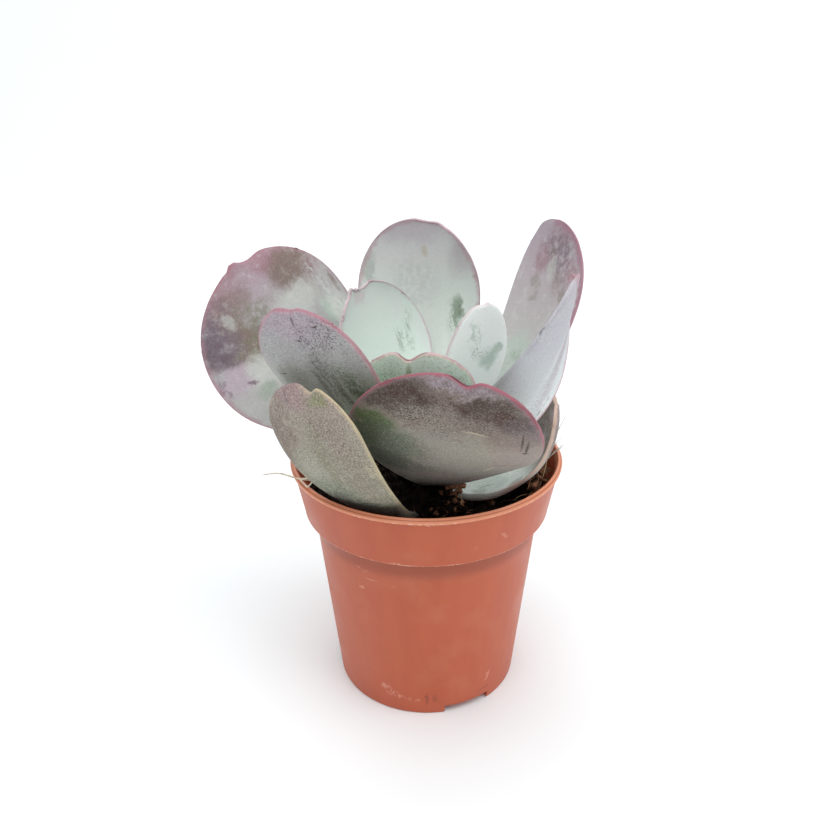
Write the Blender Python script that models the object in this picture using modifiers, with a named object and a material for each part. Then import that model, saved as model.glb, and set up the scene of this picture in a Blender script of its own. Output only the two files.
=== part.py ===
"""A small potted cotyledon: one rosette of thick spoon leaves in a terracotta-coloured plastic pot.

Everything is drawn in millimetres and written to the scene in metres, +Z up. The origin is the
middle of the pot's underside, and the front of the pot is towards -Y.
"""
import math
import random

import bmesh
import bpy
from mathutils import Vector

MM = 0.001
MERGE = 0.00001

# Pot, in mm: a 5.5 cm nursery pot with a rolled lip, a collar, a shoulder and a tapered body.
POT_HEIGHT = 51.3
RIM_RADIUS = 27.5
LIP_WIDTH = 1.2
LIP_HEIGHT = 1.0
COLLAR_TOP_RADIUS = 26.9
COLLAR_LOW_RADIUS = 25.15
COLLAR_LOW_Z = 40.6
BODY_TOP_RADIUS = 23.2
BODY_TOP_Z = 39.6
FOOT_RADIUS = 19.2
WALL = 1.0
FLOOR_RISE = 1.6
CENTRE_PAD_RADIUS = 8.0
FOOT_RING_WIDTH = 1.6
FOOT_ROUND = 0.4
SHOULDER_ROUND = 0.8
LIP_UNDERCUT = 0.15
POT_STEPS = 64

# Drainage: notches through the foot ring and one hole in the raised floor behind each.
DRAIN_COUNT = 3
DRAIN_FIRST_ANGLE = -64.0
NOTCH_WIDTH = 10.0
NOTCH_HEIGHT = 1.8
DRAIN_HOLE_RADIUS = 2.0
DRAIN_HOLE_RING = 13.0
DRAIN_HOLE_LOW = 0.6
DRAIN_HOLE_HIGH = 5.0
NOTCH_CUT_DEPTH = 6.0
CUTTER_GREY = (0.5, 0.5, 0.5)

# Flat colours of the solids, as linear red, green and blue.
TERRACOTTA = (0.52, 0.16, 0.075)
PEAT_BROWN = (0.022, 0.014, 0.010)
STEM_GREEN_BROWN = (0.16, 0.17, 0.09)
LEAF_GREY = (0.38, 0.36, 0.34)

# Soil, with a shallow planting hollow round the stem and the lowest leaf's foot.
TOUCH_GAP = 0.3
WALL_GAP = 0.5
SOIL_LEVEL = 43.6
SOIL_LUMP = 0.5
SOIL_SEED = 7
SOIL_STEPS = 40
SOIL_RINGS = 9
HOLLOW_DEPTH = 4.2
HOLLOW_RADIUS = 8.5
HOLLOW_CENTRE = (-0.5, -9.0)

# Stem: it leaves the soil a little in front of the pot's middle.
STEM_X = 1.0
STEM_Y = -7.0
STEM_FOOT_Z = 30.0
STEM_TOP_Z = 61.0
STEM_FOOT_RADIUS = 3.6
STEM_TOP_RADIUS = 2.3
STEM_STEPS = 24
STEM_BEND_Z = 52.0
STEM_FOOT_BEVEL = 0.6
HOLE_CUT_RISE = 10.0

# Leaf blades: thickness in mm, rows along the blade and columns across it.
LEAF_THICKNESS = 2.4
EDGE_THICKNESS = 1.2
ROOT_GAP = 0.4
NOTCH_SPREAD = 1.6
LOW_ROWS = 9
TIP_ROWS = 6
SIDE_COLUMNS = 5
WALK_STEPS = 60


class Leaf:
    """One blade. Lengths are in mm and angles in degrees.

    bearing: compass angle from +X at the root, and how far it turns by the tip
    climb: angle above level at the root and at the tip
    length, half_width, root_half_width: sizes of the blade laid flat
    widest: how far along the blade it is widest, from 0 to 1
    waist: how slowly the foot of the blade widens
    roll: turn about its own midrib at the root and at the tip
    cup: how much the margins curl up, in radians over half the width
    fold: how much the halves fold up from the midrib, as a slope
    lean: how much wider the half on the left of its bearing is
    root_z: height of the root on the stem
    point: shape of the tip, blunt below 1 and pointed above it
    notch: depth of the dip at the tip, or of its small point where negative
    """

    def __init__(self, name, bearing, climb, length, half_width, root_z, root_half_width=2.5,
                 widest=0.6, waist=1.5, roll=(0, 0), cup=0.1, fold=0.0, lean=0.0, point=1.0,
                 notch=1.0, thickness=LEAF_THICKNESS):
        self.name = name
        self.bearing = bearing
        self.climb = climb
        self.length = length
        self.half_width = half_width
        self.root_half_width = root_half_width
        self.widest = widest
        self.waist = waist
        self.roll = roll
        self.cup = cup
        self.fold = fold
        self.lean = lean
        self.root_z = root_z
        self.point = point
        self.notch = notch
        self.thickness = thickness


LEAVES = [
    Leaf("leaf_left_big", (162, 20), (54, 49), 52.5, 18.5, root_z=48, widest=0.65, waist=2.25,
         roll=(0, -57), cup=-0.4, point=0.9, notch=-0.6),
    Leaf("leaf_back_center", (90, 5), (30, 105), 52, 13.5, root_z=51, widest=0.7, waist=1.8,
         roll=(-10, -25), cup=0.35, lean=0.1, notch=0.4),
    Leaf("leaf_back_right", (47, 0), (25, 80), 59, 12, root_z=49, root_half_width=3, widest=0.7,
         waist=1.4, roll=(-20, -20), lean=-0.2, notch=0.8),
    Leaf("leaf_right_folded", (-48, 20), (35, 80), 50, 12.5, root_z=53, root_half_width=1.5,
         widest=0.5, roll=(-35, 15), fold=0.15, lean=0.2, notch=0.6),
    Leaf("leaf_left_mid", (217, 0), (44, 65), 44, 10.5, root_z=53, widest=0.7, roll=(20, 30),
         cup=-0.1, notch=0.4),
    Leaf("leaf_front_left", (237, -32), (24, 84), 45.5, 10.5, root_z=42, root_half_width=2,
         widest=0.8, waist=1.3, roll=(16, 25), cup=-0.05, lean=-0.1, notch=1.2),
    Leaf("leaf_front_big", (-80, 0), (35, 65), 41, 16.5, root_z=50, root_half_width=3,
         widest=0.55, roll=(-5, -25), lean=-0.1, notch=1.5),
    Leaf("leaf_right_low", (7, 17), (-10, 90), 32, 10.5, root_z=46, root_half_width=3, waist=1.2,
         roll=(0, -25), cup=0.3, lean=-0.1),
    Leaf("leaf_inner_left", (149, -3), (48, 90), 34.5, 16, root_z=55, root_half_width=3,
         widest=0.55, waist=1.2, roll=(0, 5), cup=0.5, thickness=1.8),
    Leaf("leaf_inner_right", (-30, 0), (68, 85), 31, 7.5, root_z=56, root_half_width=1.5,
         widest=0.5, waist=1.4, roll=(-5, -35), point=1.1, notch=0.6, thickness=1.8),
    Leaf("leaf_inner_front", (-110, 3), (61, 78), 25, 10.5, root_z=56, root_half_width=2,
         widest=0.65, roll=(-5, 10), cup=0.2, lean=0.1, notch=1.8, thickness=1.8),
    Leaf("leaf_inner_back", (70, 0), (62, 80), 14, 5.5, root_z=58, waist=1.4, cup=0.45,
         notch=0.8, thickness=1.8),
    Leaf("leaf_bud_left", (165, 0), (74, 88), 11, 3, root_z=60, root_half_width=1.4, waist=1.2,
         cup=0.5, notch=0.3, thickness=1.2),
    Leaf("leaf_bud_right", (-14, 0), (74, 88), 10, 2.5, root_z=60, root_half_width=1.4, waist=1.2,
         cup=0.5, notch=0.3, thickness=1.2),
]


def clear_scene():
    for obj in list(bpy.data.objects):
        bpy.data.objects.remove(obj, do_unlink=True)


def new_collection(name):
    collection = bpy.data.collections.new(name)
    bpy.context.scene.collection.children.link(collection)
    return collection


def make_material(name, colour, roughness, metallic=0.0):
    material = bpy.data.materials.new(name)
    material.use_nodes = True
    shader = material.node_tree.nodes["Principled BSDF"]
    shader.inputs["Base Color"].default_value = (*colour, 1.0)
    shader.inputs["Roughness"].default_value = roughness
    shader.inputs["Metallic"].default_value = metallic
    return material


def object_from_bmesh(name, bm, collection, material):
    mesh = bpy.data.meshes.new(name)
    bm.to_mesh(mesh)
    bm.free()
    mesh.materials.append(material)
    obj = bpy.data.objects.new(name, mesh)
    collection.objects.link(obj)
    return obj


def turned(name, profile, steps, collection, material):
    """Turns a profile of (radius, z) points in mm about Z with a Screw modifier."""
    bm = bmesh.new()
    points = [bm.verts.new((radius * MM, 0.0, z * MM)) for radius, z in profile]
    for start, end in zip(points, points[1:]):
        bm.edges.new((start, end))
    obj = object_from_bmesh(name, bm, collection, material)
    screw = obj.modifiers.new("turn", "SCREW")
    screw.axis = "Z"
    screw.angle = math.tau
    screw.steps = steps
    screw.render_steps = steps
    screw.use_merge_vertices = True
    screw.merge_threshold = MERGE
    screw.use_smooth_shade = True
    return obj


def arc(centre, radius, start, end, steps):
    """Points round a circle arc in the (radius, z) plane, both ends included."""
    turns = [math.radians(start + (end - start) * i / steps) for i in range(steps + 1)]
    return [(centre[0] + radius * math.cos(t), centre[1] + radius * math.sin(t)) for t in turns]


def pot_outer_radius(z):
    """The body's outer radius at a height under the shoulder."""
    return FOOT_RADIUS + (BODY_TOP_RADIUS - FOOT_RADIUS) * z / BODY_TOP_Z


def pot_profile():
    """The pot's section: up its inside from the axis, over the lip, and down its outside."""
    lip_round = LIP_WIDTH / 2
    lip_foot = POT_HEIGHT - LIP_HEIGHT
    floor_top = FLOOR_RISE + WALL
    inner_foot = pot_outer_radius(floor_top) - WALL
    foot_inner = FOOT_RADIUS - FOOT_RING_WIDTH
    inner = [
        (0.0, WALL),
        (CENTRE_PAD_RADIUS, WALL),
        (CENTRE_PAD_RADIUS + FLOOR_RISE, floor_top),
        (inner_foot - WALL, floor_top),
        (inner_foot, floor_top + WALL),
        (BODY_TOP_RADIUS - WALL, BODY_TOP_Z - WALL / 2),
        (COLLAR_LOW_RADIUS - WALL, COLLAR_LOW_Z + WALL),
        (COLLAR_TOP_RADIUS - WALL, lip_foot - WALL),
        (RIM_RADIUS - LIP_WIDTH, POT_HEIGHT - lip_round),
    ]
    lip = arc((RIM_RADIUS - lip_round, POT_HEIGHT - lip_round), lip_round, 150, 0, 5)
    outer = [
        (RIM_RADIUS, lip_foot + LIP_UNDERCUT),
        (RIM_RADIUS - LIP_UNDERCUT, lip_foot),
        (COLLAR_TOP_RADIUS, lip_foot - 2 * LIP_UNDERCUT),
    ]
    shoulder = arc((COLLAR_LOW_RADIUS - SHOULDER_ROUND, COLLAR_LOW_Z), SHOULDER_ROUND, 0, -75, 4)
    body = [
        (BODY_TOP_RADIUS + FOOT_ROUND / 2, BODY_TOP_Z),
        (BODY_TOP_RADIUS, BODY_TOP_Z - FOOT_ROUND),
        (pot_outer_radius(3 * FOOT_ROUND), 3 * FOOT_ROUND),
        (FOOT_RADIUS - FOOT_ROUND / 4, FOOT_ROUND),
        (FOOT_RADIUS - FOOT_ROUND, 0.0),
        (foot_inner, 0.0),
        (foot_inner - FOOT_ROUND, FLOOR_RISE),
        (CENTRE_PAD_RADIUS + FLOOR_RISE + FOOT_ROUND, FLOOR_RISE),
        (CENTRE_PAD_RADIUS + FOOT_ROUND, 0.0),
        (0.0, 0.0),
    ]
    return inner + lip + outer + shoulder + body


def hide_cutter(obj):
    obj.hide_render = True
    obj.display_type = "WIRE"


def cutter_box(name, size, centre, turn, collection):
    bm = bmesh.new()
    bmesh.ops.create_cube(bm, size=MM)
    bmesh.ops.scale(bm, vec=Vector(size), verts=bm.verts)
    obj = object_from_bmesh(name, bm, collection, make_material(name, CUTTER_GREY, 0.5))
    obj.location = Vector(centre) * MM
    obj.rotation_euler = (0.0, 0.0, turn)
    hide_cutter(obj)
    return obj


def cutter_cylinder(name, radius, low, high, place, collection):
    bm = bmesh.new()
    bmesh.ops.create_cone(bm, cap_ends=True, segments=24, radius1=radius * MM,
                          radius2=radius * MM, depth=(high - low) * MM)
    obj = object_from_bmesh(name, bm, collection, make_material(name, CUTTER_GREY, 0.5))
    obj.location = Vector((place[0], place[1], (low + high) / 2)) * MM
    hide_cutter(obj)
    return obj


def cut(obj, cutter):
    boolean = obj.modifiers.new("cut_" + cutter.name, "BOOLEAN")
    boolean.operation = "DIFFERENCE"
    boolean.solver = "EXACT"
    boolean.object = cutter


def build_pot(parts, cutters):
    plastic = make_material("terracotta_polypropylene", TERRACOTTA, 0.42)
    pot = turned("pot", pot_profile(), POT_STEPS, parts, plastic)
    for i in range(DRAIN_COUNT):
        turn = math.radians(DRAIN_FIRST_ANGLE + 360.0 * i / DRAIN_COUNT)
        across = Vector((math.cos(turn), math.sin(turn), 0.0))
        notch_middle = across * (FOOT_RADIUS - FOOT_RING_WIDTH / 2)
        notch_size = (NOTCH_CUT_DEPTH, NOTCH_WIDTH, 2 * NOTCH_HEIGHT)
        notch = cutter_box("notch_cutter_%d" % i, notch_size, notch_middle, turn, cutters)
        cut(pot, notch)
        hole = cutter_cylinder("drain_cutter_%d" % i, DRAIN_HOLE_RADIUS, DRAIN_HOLE_LOW,
                               DRAIN_HOLE_HIGH, across * DRAIN_HOLE_RING, cutters)
        cut(pot, hole)
    return pot


def soil_height(x, y, draw):
    """Soil level at a point in mm: a planting hollow and small lumps."""
    away = math.hypot(x - HOLLOW_CENTRE[0], y - HOLLOW_CENTRE[1])
    hollow = HOLLOW_DEPTH * math.exp(-(away / HOLLOW_RADIUS) ** 2)
    return SOIL_LEVEL - hollow + draw.uniform(-SOIL_LUMP, SOIL_LUMP)


def soil_profile():
    """Out along the soil's top and down its side, which the gap keeps off the pot's flat facets."""
    collar_share = (SOIL_LEVEL - COLLAR_LOW_Z) / (POT_HEIGHT - COLLAR_LOW_Z)
    collar_radius = COLLAR_LOW_RADIUS + (COLLAR_TOP_RADIUS - COLLAR_LOW_RADIUS) * collar_share
    top_radius = collar_radius - WALL - WALL_GAP
    floor_top = FLOOR_RISE + WALL
    foot = pot_outer_radius(floor_top + WALL) - WALL - 2 * TOUCH_GAP
    rings = [(top_radius * i / SOIL_RINGS, SOIL_LEVEL) for i in range(SOIL_RINGS)]
    side = [
        (top_radius, SOIL_LEVEL),
        (COLLAR_LOW_RADIUS - WALL - WALL_GAP, COLLAR_LOW_Z + WALL + TOUCH_GAP),
        (BODY_TOP_RADIUS - WALL - WALL_GAP, BODY_TOP_Z - WALL / 2),
        (foot, floor_top + WALL + TOUCH_GAP),
        (foot - WALL, floor_top + TOUCH_GAP),
        (0.0, floor_top + TOUCH_GAP),
    ]
    return rings + side


def apply_modifiers(obj):
    """Replaces an object's mesh with the one its modifiers make."""
    graph = bpy.context.evaluated_depsgraph_get()
    mesh = bpy.data.meshes.new_from_object(obj.evaluated_get(graph))
    obj.modifiers.clear()
    obj.data = mesh


def build_soil(parts, cutters):
    peat = make_material("dark_peat", PEAT_BROWN, 0.95)
    soil = turned("soil", soil_profile(), SOIL_STEPS, parts, peat)
    apply_modifiers(soil)
    draw = random.Random(SOIL_SEED)
    for vertex in soil.data.vertices:
        if vertex.co.z > (SOIL_LEVEL - 0.01) * MM:
            vertex.co.z = soil_height(vertex.co.x / MM, vertex.co.y / MM, draw) * MM
    hole = cutter_cylinder("stem_hole_cutter", STEM_FOOT_RADIUS + TOUCH_GAP,
                           STEM_FOOT_Z - TOUCH_GAP, SOIL_LEVEL + HOLE_CUT_RISE, (STEM_X, STEM_Y), cutters)
    cut(soil, hole)
    return soil


def stem_radius(z):
    """The stem's radius at a height, thinner towards the top."""
    share = (z - SOIL_LEVEL) / (STEM_TOP_Z - SOIL_LEVEL)
    share = min(max(share, 0.0), 1.0)
    return STEM_FOOT_RADIUS + (STEM_TOP_RADIUS - STEM_FOOT_RADIUS) * share


def build_stem(parts):
    bark = make_material("green_brown_stem", STEM_GREEN_BROWN, 0.6)
    top = arc((0.0, STEM_TOP_Z - STEM_TOP_RADIUS), STEM_TOP_RADIUS, 90, 15, 4)
    side = [
        (STEM_TOP_RADIUS, STEM_TOP_Z - STEM_TOP_RADIUS),
        (stem_radius(STEM_BEND_Z), STEM_BEND_Z),
        (STEM_FOOT_RADIUS, SOIL_LEVEL),
        (STEM_FOOT_RADIUS, STEM_FOOT_Z + STEM_FOOT_BEVEL),
        (STEM_FOOT_RADIUS - STEM_FOOT_BEVEL, STEM_FOOT_Z),
        (0.0, STEM_FOOT_Z),
    ]
    stem = turned("stem", top + side, STEM_STEPS, parts, bark)
    stem.location = Vector((STEM_X, STEM_Y, 0.0)) * MM
    return stem


def blade_direction(leaf, t):
    """Unit vector along the midrib at t, from 0 at the root to 1 at the tip."""
    climb = math.radians(leaf.climb[0] + (leaf.climb[1] - leaf.climb[0]) * t)
    bearing = math.radians(leaf.bearing[0] + leaf.bearing[1] * t)
    level = math.cos(climb)
    return Vector((level * math.cos(bearing), level * math.sin(bearing), math.sin(climb)))


def walk_midrib(leaf):
    """The midrib's points in mm, in equal steps from the root to the tip."""
    bearing = math.radians(leaf.bearing[0])
    slant = math.sin(math.radians(leaf.climb[0])) * leaf.thickness / 2
    out = stem_radius(leaf.root_z) + abs(slant) + ROOT_GAP
    place = Vector((STEM_X + out * math.cos(bearing), STEM_Y + out * math.sin(bearing),
                    leaf.root_z))
    points = [place.copy()]
    for step in range(WALK_STEPS):
        place += blade_direction(leaf, (step + 0.5) / WALK_STEPS) * leaf.length / WALK_STEPS
        points.append(place.copy())
    return points


def midrib_point(points, t):
    spot = min(max(t, 0.0), 1.0) * WALK_STEPS
    low = min(int(spot), WALK_STEPS - 1)
    return points[low].lerp(points[low + 1], spot - low)


def row_stations(leaf, low_rows, tip_rows):
    """(t, half width) of each row: even rows to the widest place, then round to the tip."""
    stations = []
    for i in range(low_rows):
        t = leaf.widest * i / low_rows
        swell = math.sin(math.pi / 2 * i / low_rows) ** leaf.waist
        stations.append((t, leaf.root_half_width
                         + (leaf.half_width - leaf.root_half_width) * swell))
    for i in range(tip_rows + 1):
        turn = math.pi / 2 * i / tip_rows
        t = leaf.widest + (1.0 - leaf.widest) * math.sin(turn)
        stations.append((t, leaf.half_width * math.cos(turn) ** leaf.point))
    return stations


def blade_point(leaf, points, t, half_width, u):
    """A point of the blade's middle surface; u runs from -1 to 1 across it."""
    dip = leaf.notch / leaf.length * math.exp(-(u * half_width / NOTCH_SPREAD) ** 2)
    t_here = t - dip * max(0.0, (t - leaf.widest) / (1.0 - leaf.widest))
    along = blade_direction(leaf, t_here)
    bearing = math.radians(leaf.bearing[0] + leaf.bearing[1] * t_here)
    side = Vector((-math.sin(bearing), math.cos(bearing), 0.0))
    upper = along.cross(side)
    roll = math.radians(leaf.roll[0] + (leaf.roll[1] - leaf.roll[0]) * t_here)
    side_turned = side * math.cos(roll) + upper * math.sin(roll)
    upper_turned = upper * math.cos(roll) - side * math.sin(roll)
    reach = half_width * (1.0 + leaf.lean * u)
    curl = abs(leaf.cup * u)
    sideways = reach * math.copysign(math.sin(curl), u) / abs(leaf.cup)
    raised = reach * (1.0 - math.cos(curl)) / leaf.cup + leaf.fold * reach * abs(u)
    return midrib_point(points, t_here) + side_turned * sideways + upper_turned * raised


def build_leaf(leaf, parts, material):
    """A grid bent into the blade, then given its thickness by Solidify."""
    bm = bmesh.new()
    rows = LOW_ROWS + TIP_ROWS
    columns = 2 * SIDE_COLUMNS
    bmesh.ops.create_grid(bm, x_segments=columns, y_segments=rows, size=1.0)
    points = walk_midrib(leaf)
    stations = row_stations(leaf, LOW_ROWS, TIP_ROWS)
    edge_share = EDGE_THICKNESS / leaf.thickness
    thickness_of = {}
    for vertex in bm.verts:
        row = round((vertex.co.y + 1.0) / 2.0 * rows)
        u = vertex.co.x
        t, half_width = stations[row]
        vertex.co = blade_point(leaf, points, t, half_width, u) * MM
        thickness_of[vertex.index] = 1.0 if row == 0 else edge_share + (1 - edge_share) * (1 - u * u)
    bmesh.ops.triangulate(bm, faces=bm.faces, quad_method="ALTERNATE")
    obj = object_from_bmesh(leaf.name, bm, parts, material)
    group = obj.vertex_groups.new(name="thickness")
    for index, weight in thickness_of.items():
        group.add([index], weight, "REPLACE")
    return obj


def finish_leaf(leaf, obj):
    weld = obj.modifiers.new("close_tip", "WELD")
    weld.merge_threshold = MERGE
    solidify = obj.modifiers.new("thickness", "SOLIDIFY")
    solidify.thickness = leaf.thickness * MM
    solidify.offset = 0.0
    solidify.vertex_group = "thickness"
    solidify.use_even_offset = False
    solidify.use_rim = True
    obj.data.shade_smooth()


def build_leaves(parts):
    farina = make_material("farina_leaf", LEAF_GREY, 0.6)
    for leaf in LEAVES:
        obj = build_leaf(leaf, parts, farina)
        finish_leaf(leaf, obj)


def main():
    clear_scene()
    parts = new_collection("potted_cotyledon")
    cutters = new_collection("cutters")
    build_pot(parts, cutters)
    build_soil(parts, cutters)
    build_stem(parts)
    build_leaves(parts)


main()
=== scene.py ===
# %% [markdown]
# # A potted cotyledon, dressed for a studio picture
#
# The plant is a young succulent: a loose rosette of thick, paddle-shaped leaves on one short
# stem, planted off centre in a small terracotta-coloured plastic pot. The leaves carry a white
# powder, the farina, which is rubbed off in places, so that grey green and mauve flesh shows.
#
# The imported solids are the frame: the main sizes of pot, stem and soil are measured on them, and
# the leaves grow by the same rule as their solids, from the same values but for a slimmer foot
# and a shallower notch. Each cell below makes one piece finer than its solid, or lays a finish on
# it, and says why it was made that way.

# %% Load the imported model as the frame
import math
import random

import bmesh
import bpy
from mathutils import Euler, Matrix, Vector, noise
from mathutils.bvhtree import BVHTree
from mathutils.kdtree import KDTree


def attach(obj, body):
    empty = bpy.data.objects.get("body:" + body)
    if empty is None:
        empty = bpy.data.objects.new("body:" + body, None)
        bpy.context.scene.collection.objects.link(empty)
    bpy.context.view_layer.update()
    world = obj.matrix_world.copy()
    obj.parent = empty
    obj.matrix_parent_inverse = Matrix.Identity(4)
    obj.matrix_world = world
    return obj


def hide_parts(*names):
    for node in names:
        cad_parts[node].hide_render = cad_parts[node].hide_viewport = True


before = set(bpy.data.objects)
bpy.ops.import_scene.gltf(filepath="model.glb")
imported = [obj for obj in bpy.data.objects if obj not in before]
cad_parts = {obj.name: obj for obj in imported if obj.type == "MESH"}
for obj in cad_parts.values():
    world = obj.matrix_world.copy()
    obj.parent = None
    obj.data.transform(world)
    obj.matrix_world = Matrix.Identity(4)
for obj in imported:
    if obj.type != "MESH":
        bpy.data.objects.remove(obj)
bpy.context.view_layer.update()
MM = 0.001


def solid_box(name):
    """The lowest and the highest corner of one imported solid, in mm, to 0.1 mm."""
    corners = [vertex.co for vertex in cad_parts[name].data.vertices]
    return [[round(pick(corner[axis] for corner in corners) / MM, 1) for axis in range(3)]
            for pick in (min, max)]


# %% [markdown]
# ## Small helpers
#
# Colours are picked as sRGB hex values, as a paint chart gives them, but shaders want linear
# light, so one function turns one into the other. One more function adds a shader node with its
# settings and its links, which keeps a material readable as a short list of steps: it fills the
# node's inputs in order, and takes another node for its main output.


# %% Colour, node and selection helpers
# Settings that many nodes share: a smooth step, a product, and a mix of two colours.
SMOOTH = {"interpolation_type": "SMOOTHSTEP"}
TIMES = {"operation": "MULTIPLY"}
RGB = {"data_type": "RGBA"}


def linear(code):
    """An sRGB hex colour as linear RGBA."""
    parts = [int(code[i:i + 2], 16) / 255 for i in (1, 3, 5)]
    return tuple(c / 12.92 if c <= 0.04045 else ((c + 0.055) / 1.055) ** 2.4 for c in parts) + (1,)


def feed(tree, value, socket):
    """Puts a value, a node's output or a node's main output into a socket."""
    if isinstance(value, bpy.types.Node):
        value = [output for output in value.outputs if output.enabled][0]
    if isinstance(value, bpy.types.NodeSocket):
        tree.links.new(value, socket)
    elif value is not None:
        socket.default_value = value


def add(tree, kind, *values, **settings):
    """Adds a shader node, and puts the values into its inputs in order; None leaves one alone."""
    node = tree.nodes.new("ShaderNode" + kind)
    for name, setting in settings.items():
        setattr(node, name, setting)
    sockets = [socket for socket in node.inputs if socket.enabled]
    for value, socket in zip(values, sockets):
        feed(tree, value, socket)
    return node


def new_material(name, values):
    """A material with its Principled shader's own sockets set."""
    material = bpy.data.materials.new(name)
    material.use_nodes = True
    shader = material.node_tree.nodes["Principled BSDF"]
    for key, value in values.items():
        shader.inputs[key].default_value = value
    return material, material.node_tree, shader


def start_piece():
    """Leaves nothing selected, so that an operator touches only what is added next."""
    if bpy.context.mode != "OBJECT":
        bpy.ops.object.mode_set(mode="OBJECT")
    bpy.ops.object.select_all(action="DESELECT")


def apply_all(piece):
    """Applies a piece's modifiers in order."""
    start_piece()
    piece.select_set(True)
    bpy.context.view_layer.objects.active = piece
    for modifier in list(piece.modifiers):
        bpy.ops.object.modifier_apply(modifier=modifier.name)


def finish_piece(piece, name, materials, replaced=()):
    """Names a piece, freezes its place into its mesh, and hangs it on the frame."""
    start_piece()
    piece.select_set(True)
    bpy.context.view_layer.objects.active = piece
    bpy.ops.object.transform_apply(location=True, rotation=True, scale=True)
    piece.name = name
    piece.data.name = name
    piece.data.materials.clear()
    for material in materials:
        piece.data.materials.append(material)
    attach(piece, "root")
    if replaced:
        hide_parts(*replaced)
    print(name, "has", len(piece.data.polygons), "faces")


print("mid grey #808080 is", round(linear("#808080")[0], 3), "in linear light")

# %% [markdown]
# ## Camera
#
# The picture was taken from a hand's height above the pot, close by, with a normal lens that
# looks down about 24 degrees. A longer lens from farther off would give the pot the same size, but
# the leaves in front are 60 mm nearer than those behind, so the distance matters as much as the
# angle: it sets how large the front leaf looks.

# %% Camera
# The place in metres and the angles in radians
CAMERA_PLACE = (0.0, -0.1524, 0.1264)
LOOK_DOWN = 0.416
LOOK_ASIDE = 0.013
CAMERA_TILT = -0.009

bpy.ops.object.camera_add(location=CAMERA_PLACE)
camera = bpy.context.object
camera.name = "photo_camera"
aim = Euler((0.0, 0.0, LOOK_ASIDE)).to_matrix()
aim = aim @ Euler((math.pi / 2 - LOOK_DOWN, 0.0, 0.0)).to_matrix()
aim = aim @ Euler((0.0, 0.0, CAMERA_TILT)).to_matrix()
camera.rotation_euler = aim.to_euler()
camera.data.sensor_width = 36.0
camera.data.lens = 36.0
camera.data.clip_start = 0.01
bpy.context.scene.camera = camera
print("camera at", CAMERA_PLACE)

# %% [markdown]
# ## Floor and light
#
# A product picture on white: a matte white sheet that rises behind the plant, pale light from all
# round, a wide soft lamp on the right, one overhead, and one that keeps the sheet behind bright.
# One lamp could light it all, but its shadow would be hard and the sheet grey. The sheet throws
# much light back up, so the undersides of the leaves stay soft and the pot's edges look milky.

# %% Floor, lamps and surroundings
# In metres
SHEET_WIDTH = 3.0
SHEET_FRONT = -1.2
SHEET_BACK = 0.5
SHEET_RISE = 1.2
SWEEP_STEPS = 8
SWEEP_RADIUS = 0.3

start_piece()
bpy.ops.mesh.primitive_plane_add(size=1.0, location=(0.0, (SHEET_FRONT + SHEET_BACK) / 2, 0.0))
floor = bpy.context.object
floor.name = "white_sheet"
floor.scale = (SHEET_WIDTH, SHEET_BACK - SHEET_FRONT, 1.0)
bpy.ops.object.transform_apply(location=True, scale=True)
bpy.ops.object.mode_set(mode="EDIT")
bm = bmesh.from_edit_mesh(floor.data)
for edge in bm.edges:
    edge.select = all(vertex.co.y > SHEET_BACK - 0.01 for vertex in edge.verts)
bmesh.update_edit_mesh(floor.data)
for i in range(SWEEP_STEPS):
    turn = math.pi / 2 * (i + 0.5) / SWEEP_STEPS
    stride = SWEEP_RADIUS * math.pi / 2 / SWEEP_STEPS
    bpy.ops.mesh.extrude_edges_move(
        TRANSFORM_OT_translate={"value": (0.0, stride * math.cos(turn), stride * math.sin(turn))})
bpy.ops.mesh.extrude_edges_move(TRANSFORM_OT_translate={"value": (0.0, 0.0, SHEET_RISE)})
bpy.ops.object.mode_set(mode="OBJECT")
floor.data.shade_smooth()
# Uncoated paper spreads light evenly, so the sheet shows soft shadows and no shine.
paper, tree, shader = new_material("matte_white_paper",
                                   {"Base Color": linear("#f5fafb"), "Roughness": 0.9})
floor.data.materials.append(paper)

world = bpy.data.worlds.new("white_surroundings")
bpy.context.scene.world = world
world.use_nodes = True
sky = world.node_tree.nodes["Background"]
sky.inputs["Color"].default_value = linear("#fdfdff")
sky.inputs["Strength"].default_value = 0.5


def soft_lamp(name, place, aim_at, size, power):
    """A square area lamp that looks at a point."""
    bpy.ops.object.light_add(type="AREA", location=place)
    lamp = bpy.context.object
    lamp.name = name
    lamp.data.size = size
    lamp.data.energy = power
    direction = Vector(aim_at) - Vector(place)
    lamp.rotation_euler = direction.to_track_quat("-Z", "Y").to_euler()
    return lamp


PLANT_MIDDLE = (0.0, 0.0, 0.06)
soft_lamp("right_softbox", (0.75, -0.35, 0.95), PLANT_MIDDLE, 0.8, 4.3)
soft_lamp("top_softbox", (-0.2, 0.15, 1.15), PLANT_MIDDLE, 0.9, 4.0)
soft_lamp("sheet_lamp", (0.0, -0.3, 1.1), (0.0, 0.8, 0.3), 0.9, 5.0)
bpy.context.scene.view_settings.view_transform = "Standard"
print("floor and lamps are in place")

# %% [markdown]
# ## The pot
#
# A thin injection-moulded nursery pot. It is round all over, so it grows from one circle: the
# ring is extruded and resized from the foot up the outside, over the rolled lip, and down the
# inside, as a potter's wall is pulled. A spun outline would do too, but extruding keeps the rings
# in order for the fill at both ends. A list of (radius, height) stations in mm gives each stop,
# with small steps where the real pot has its fillets. The notches are cut afterwards.

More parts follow.
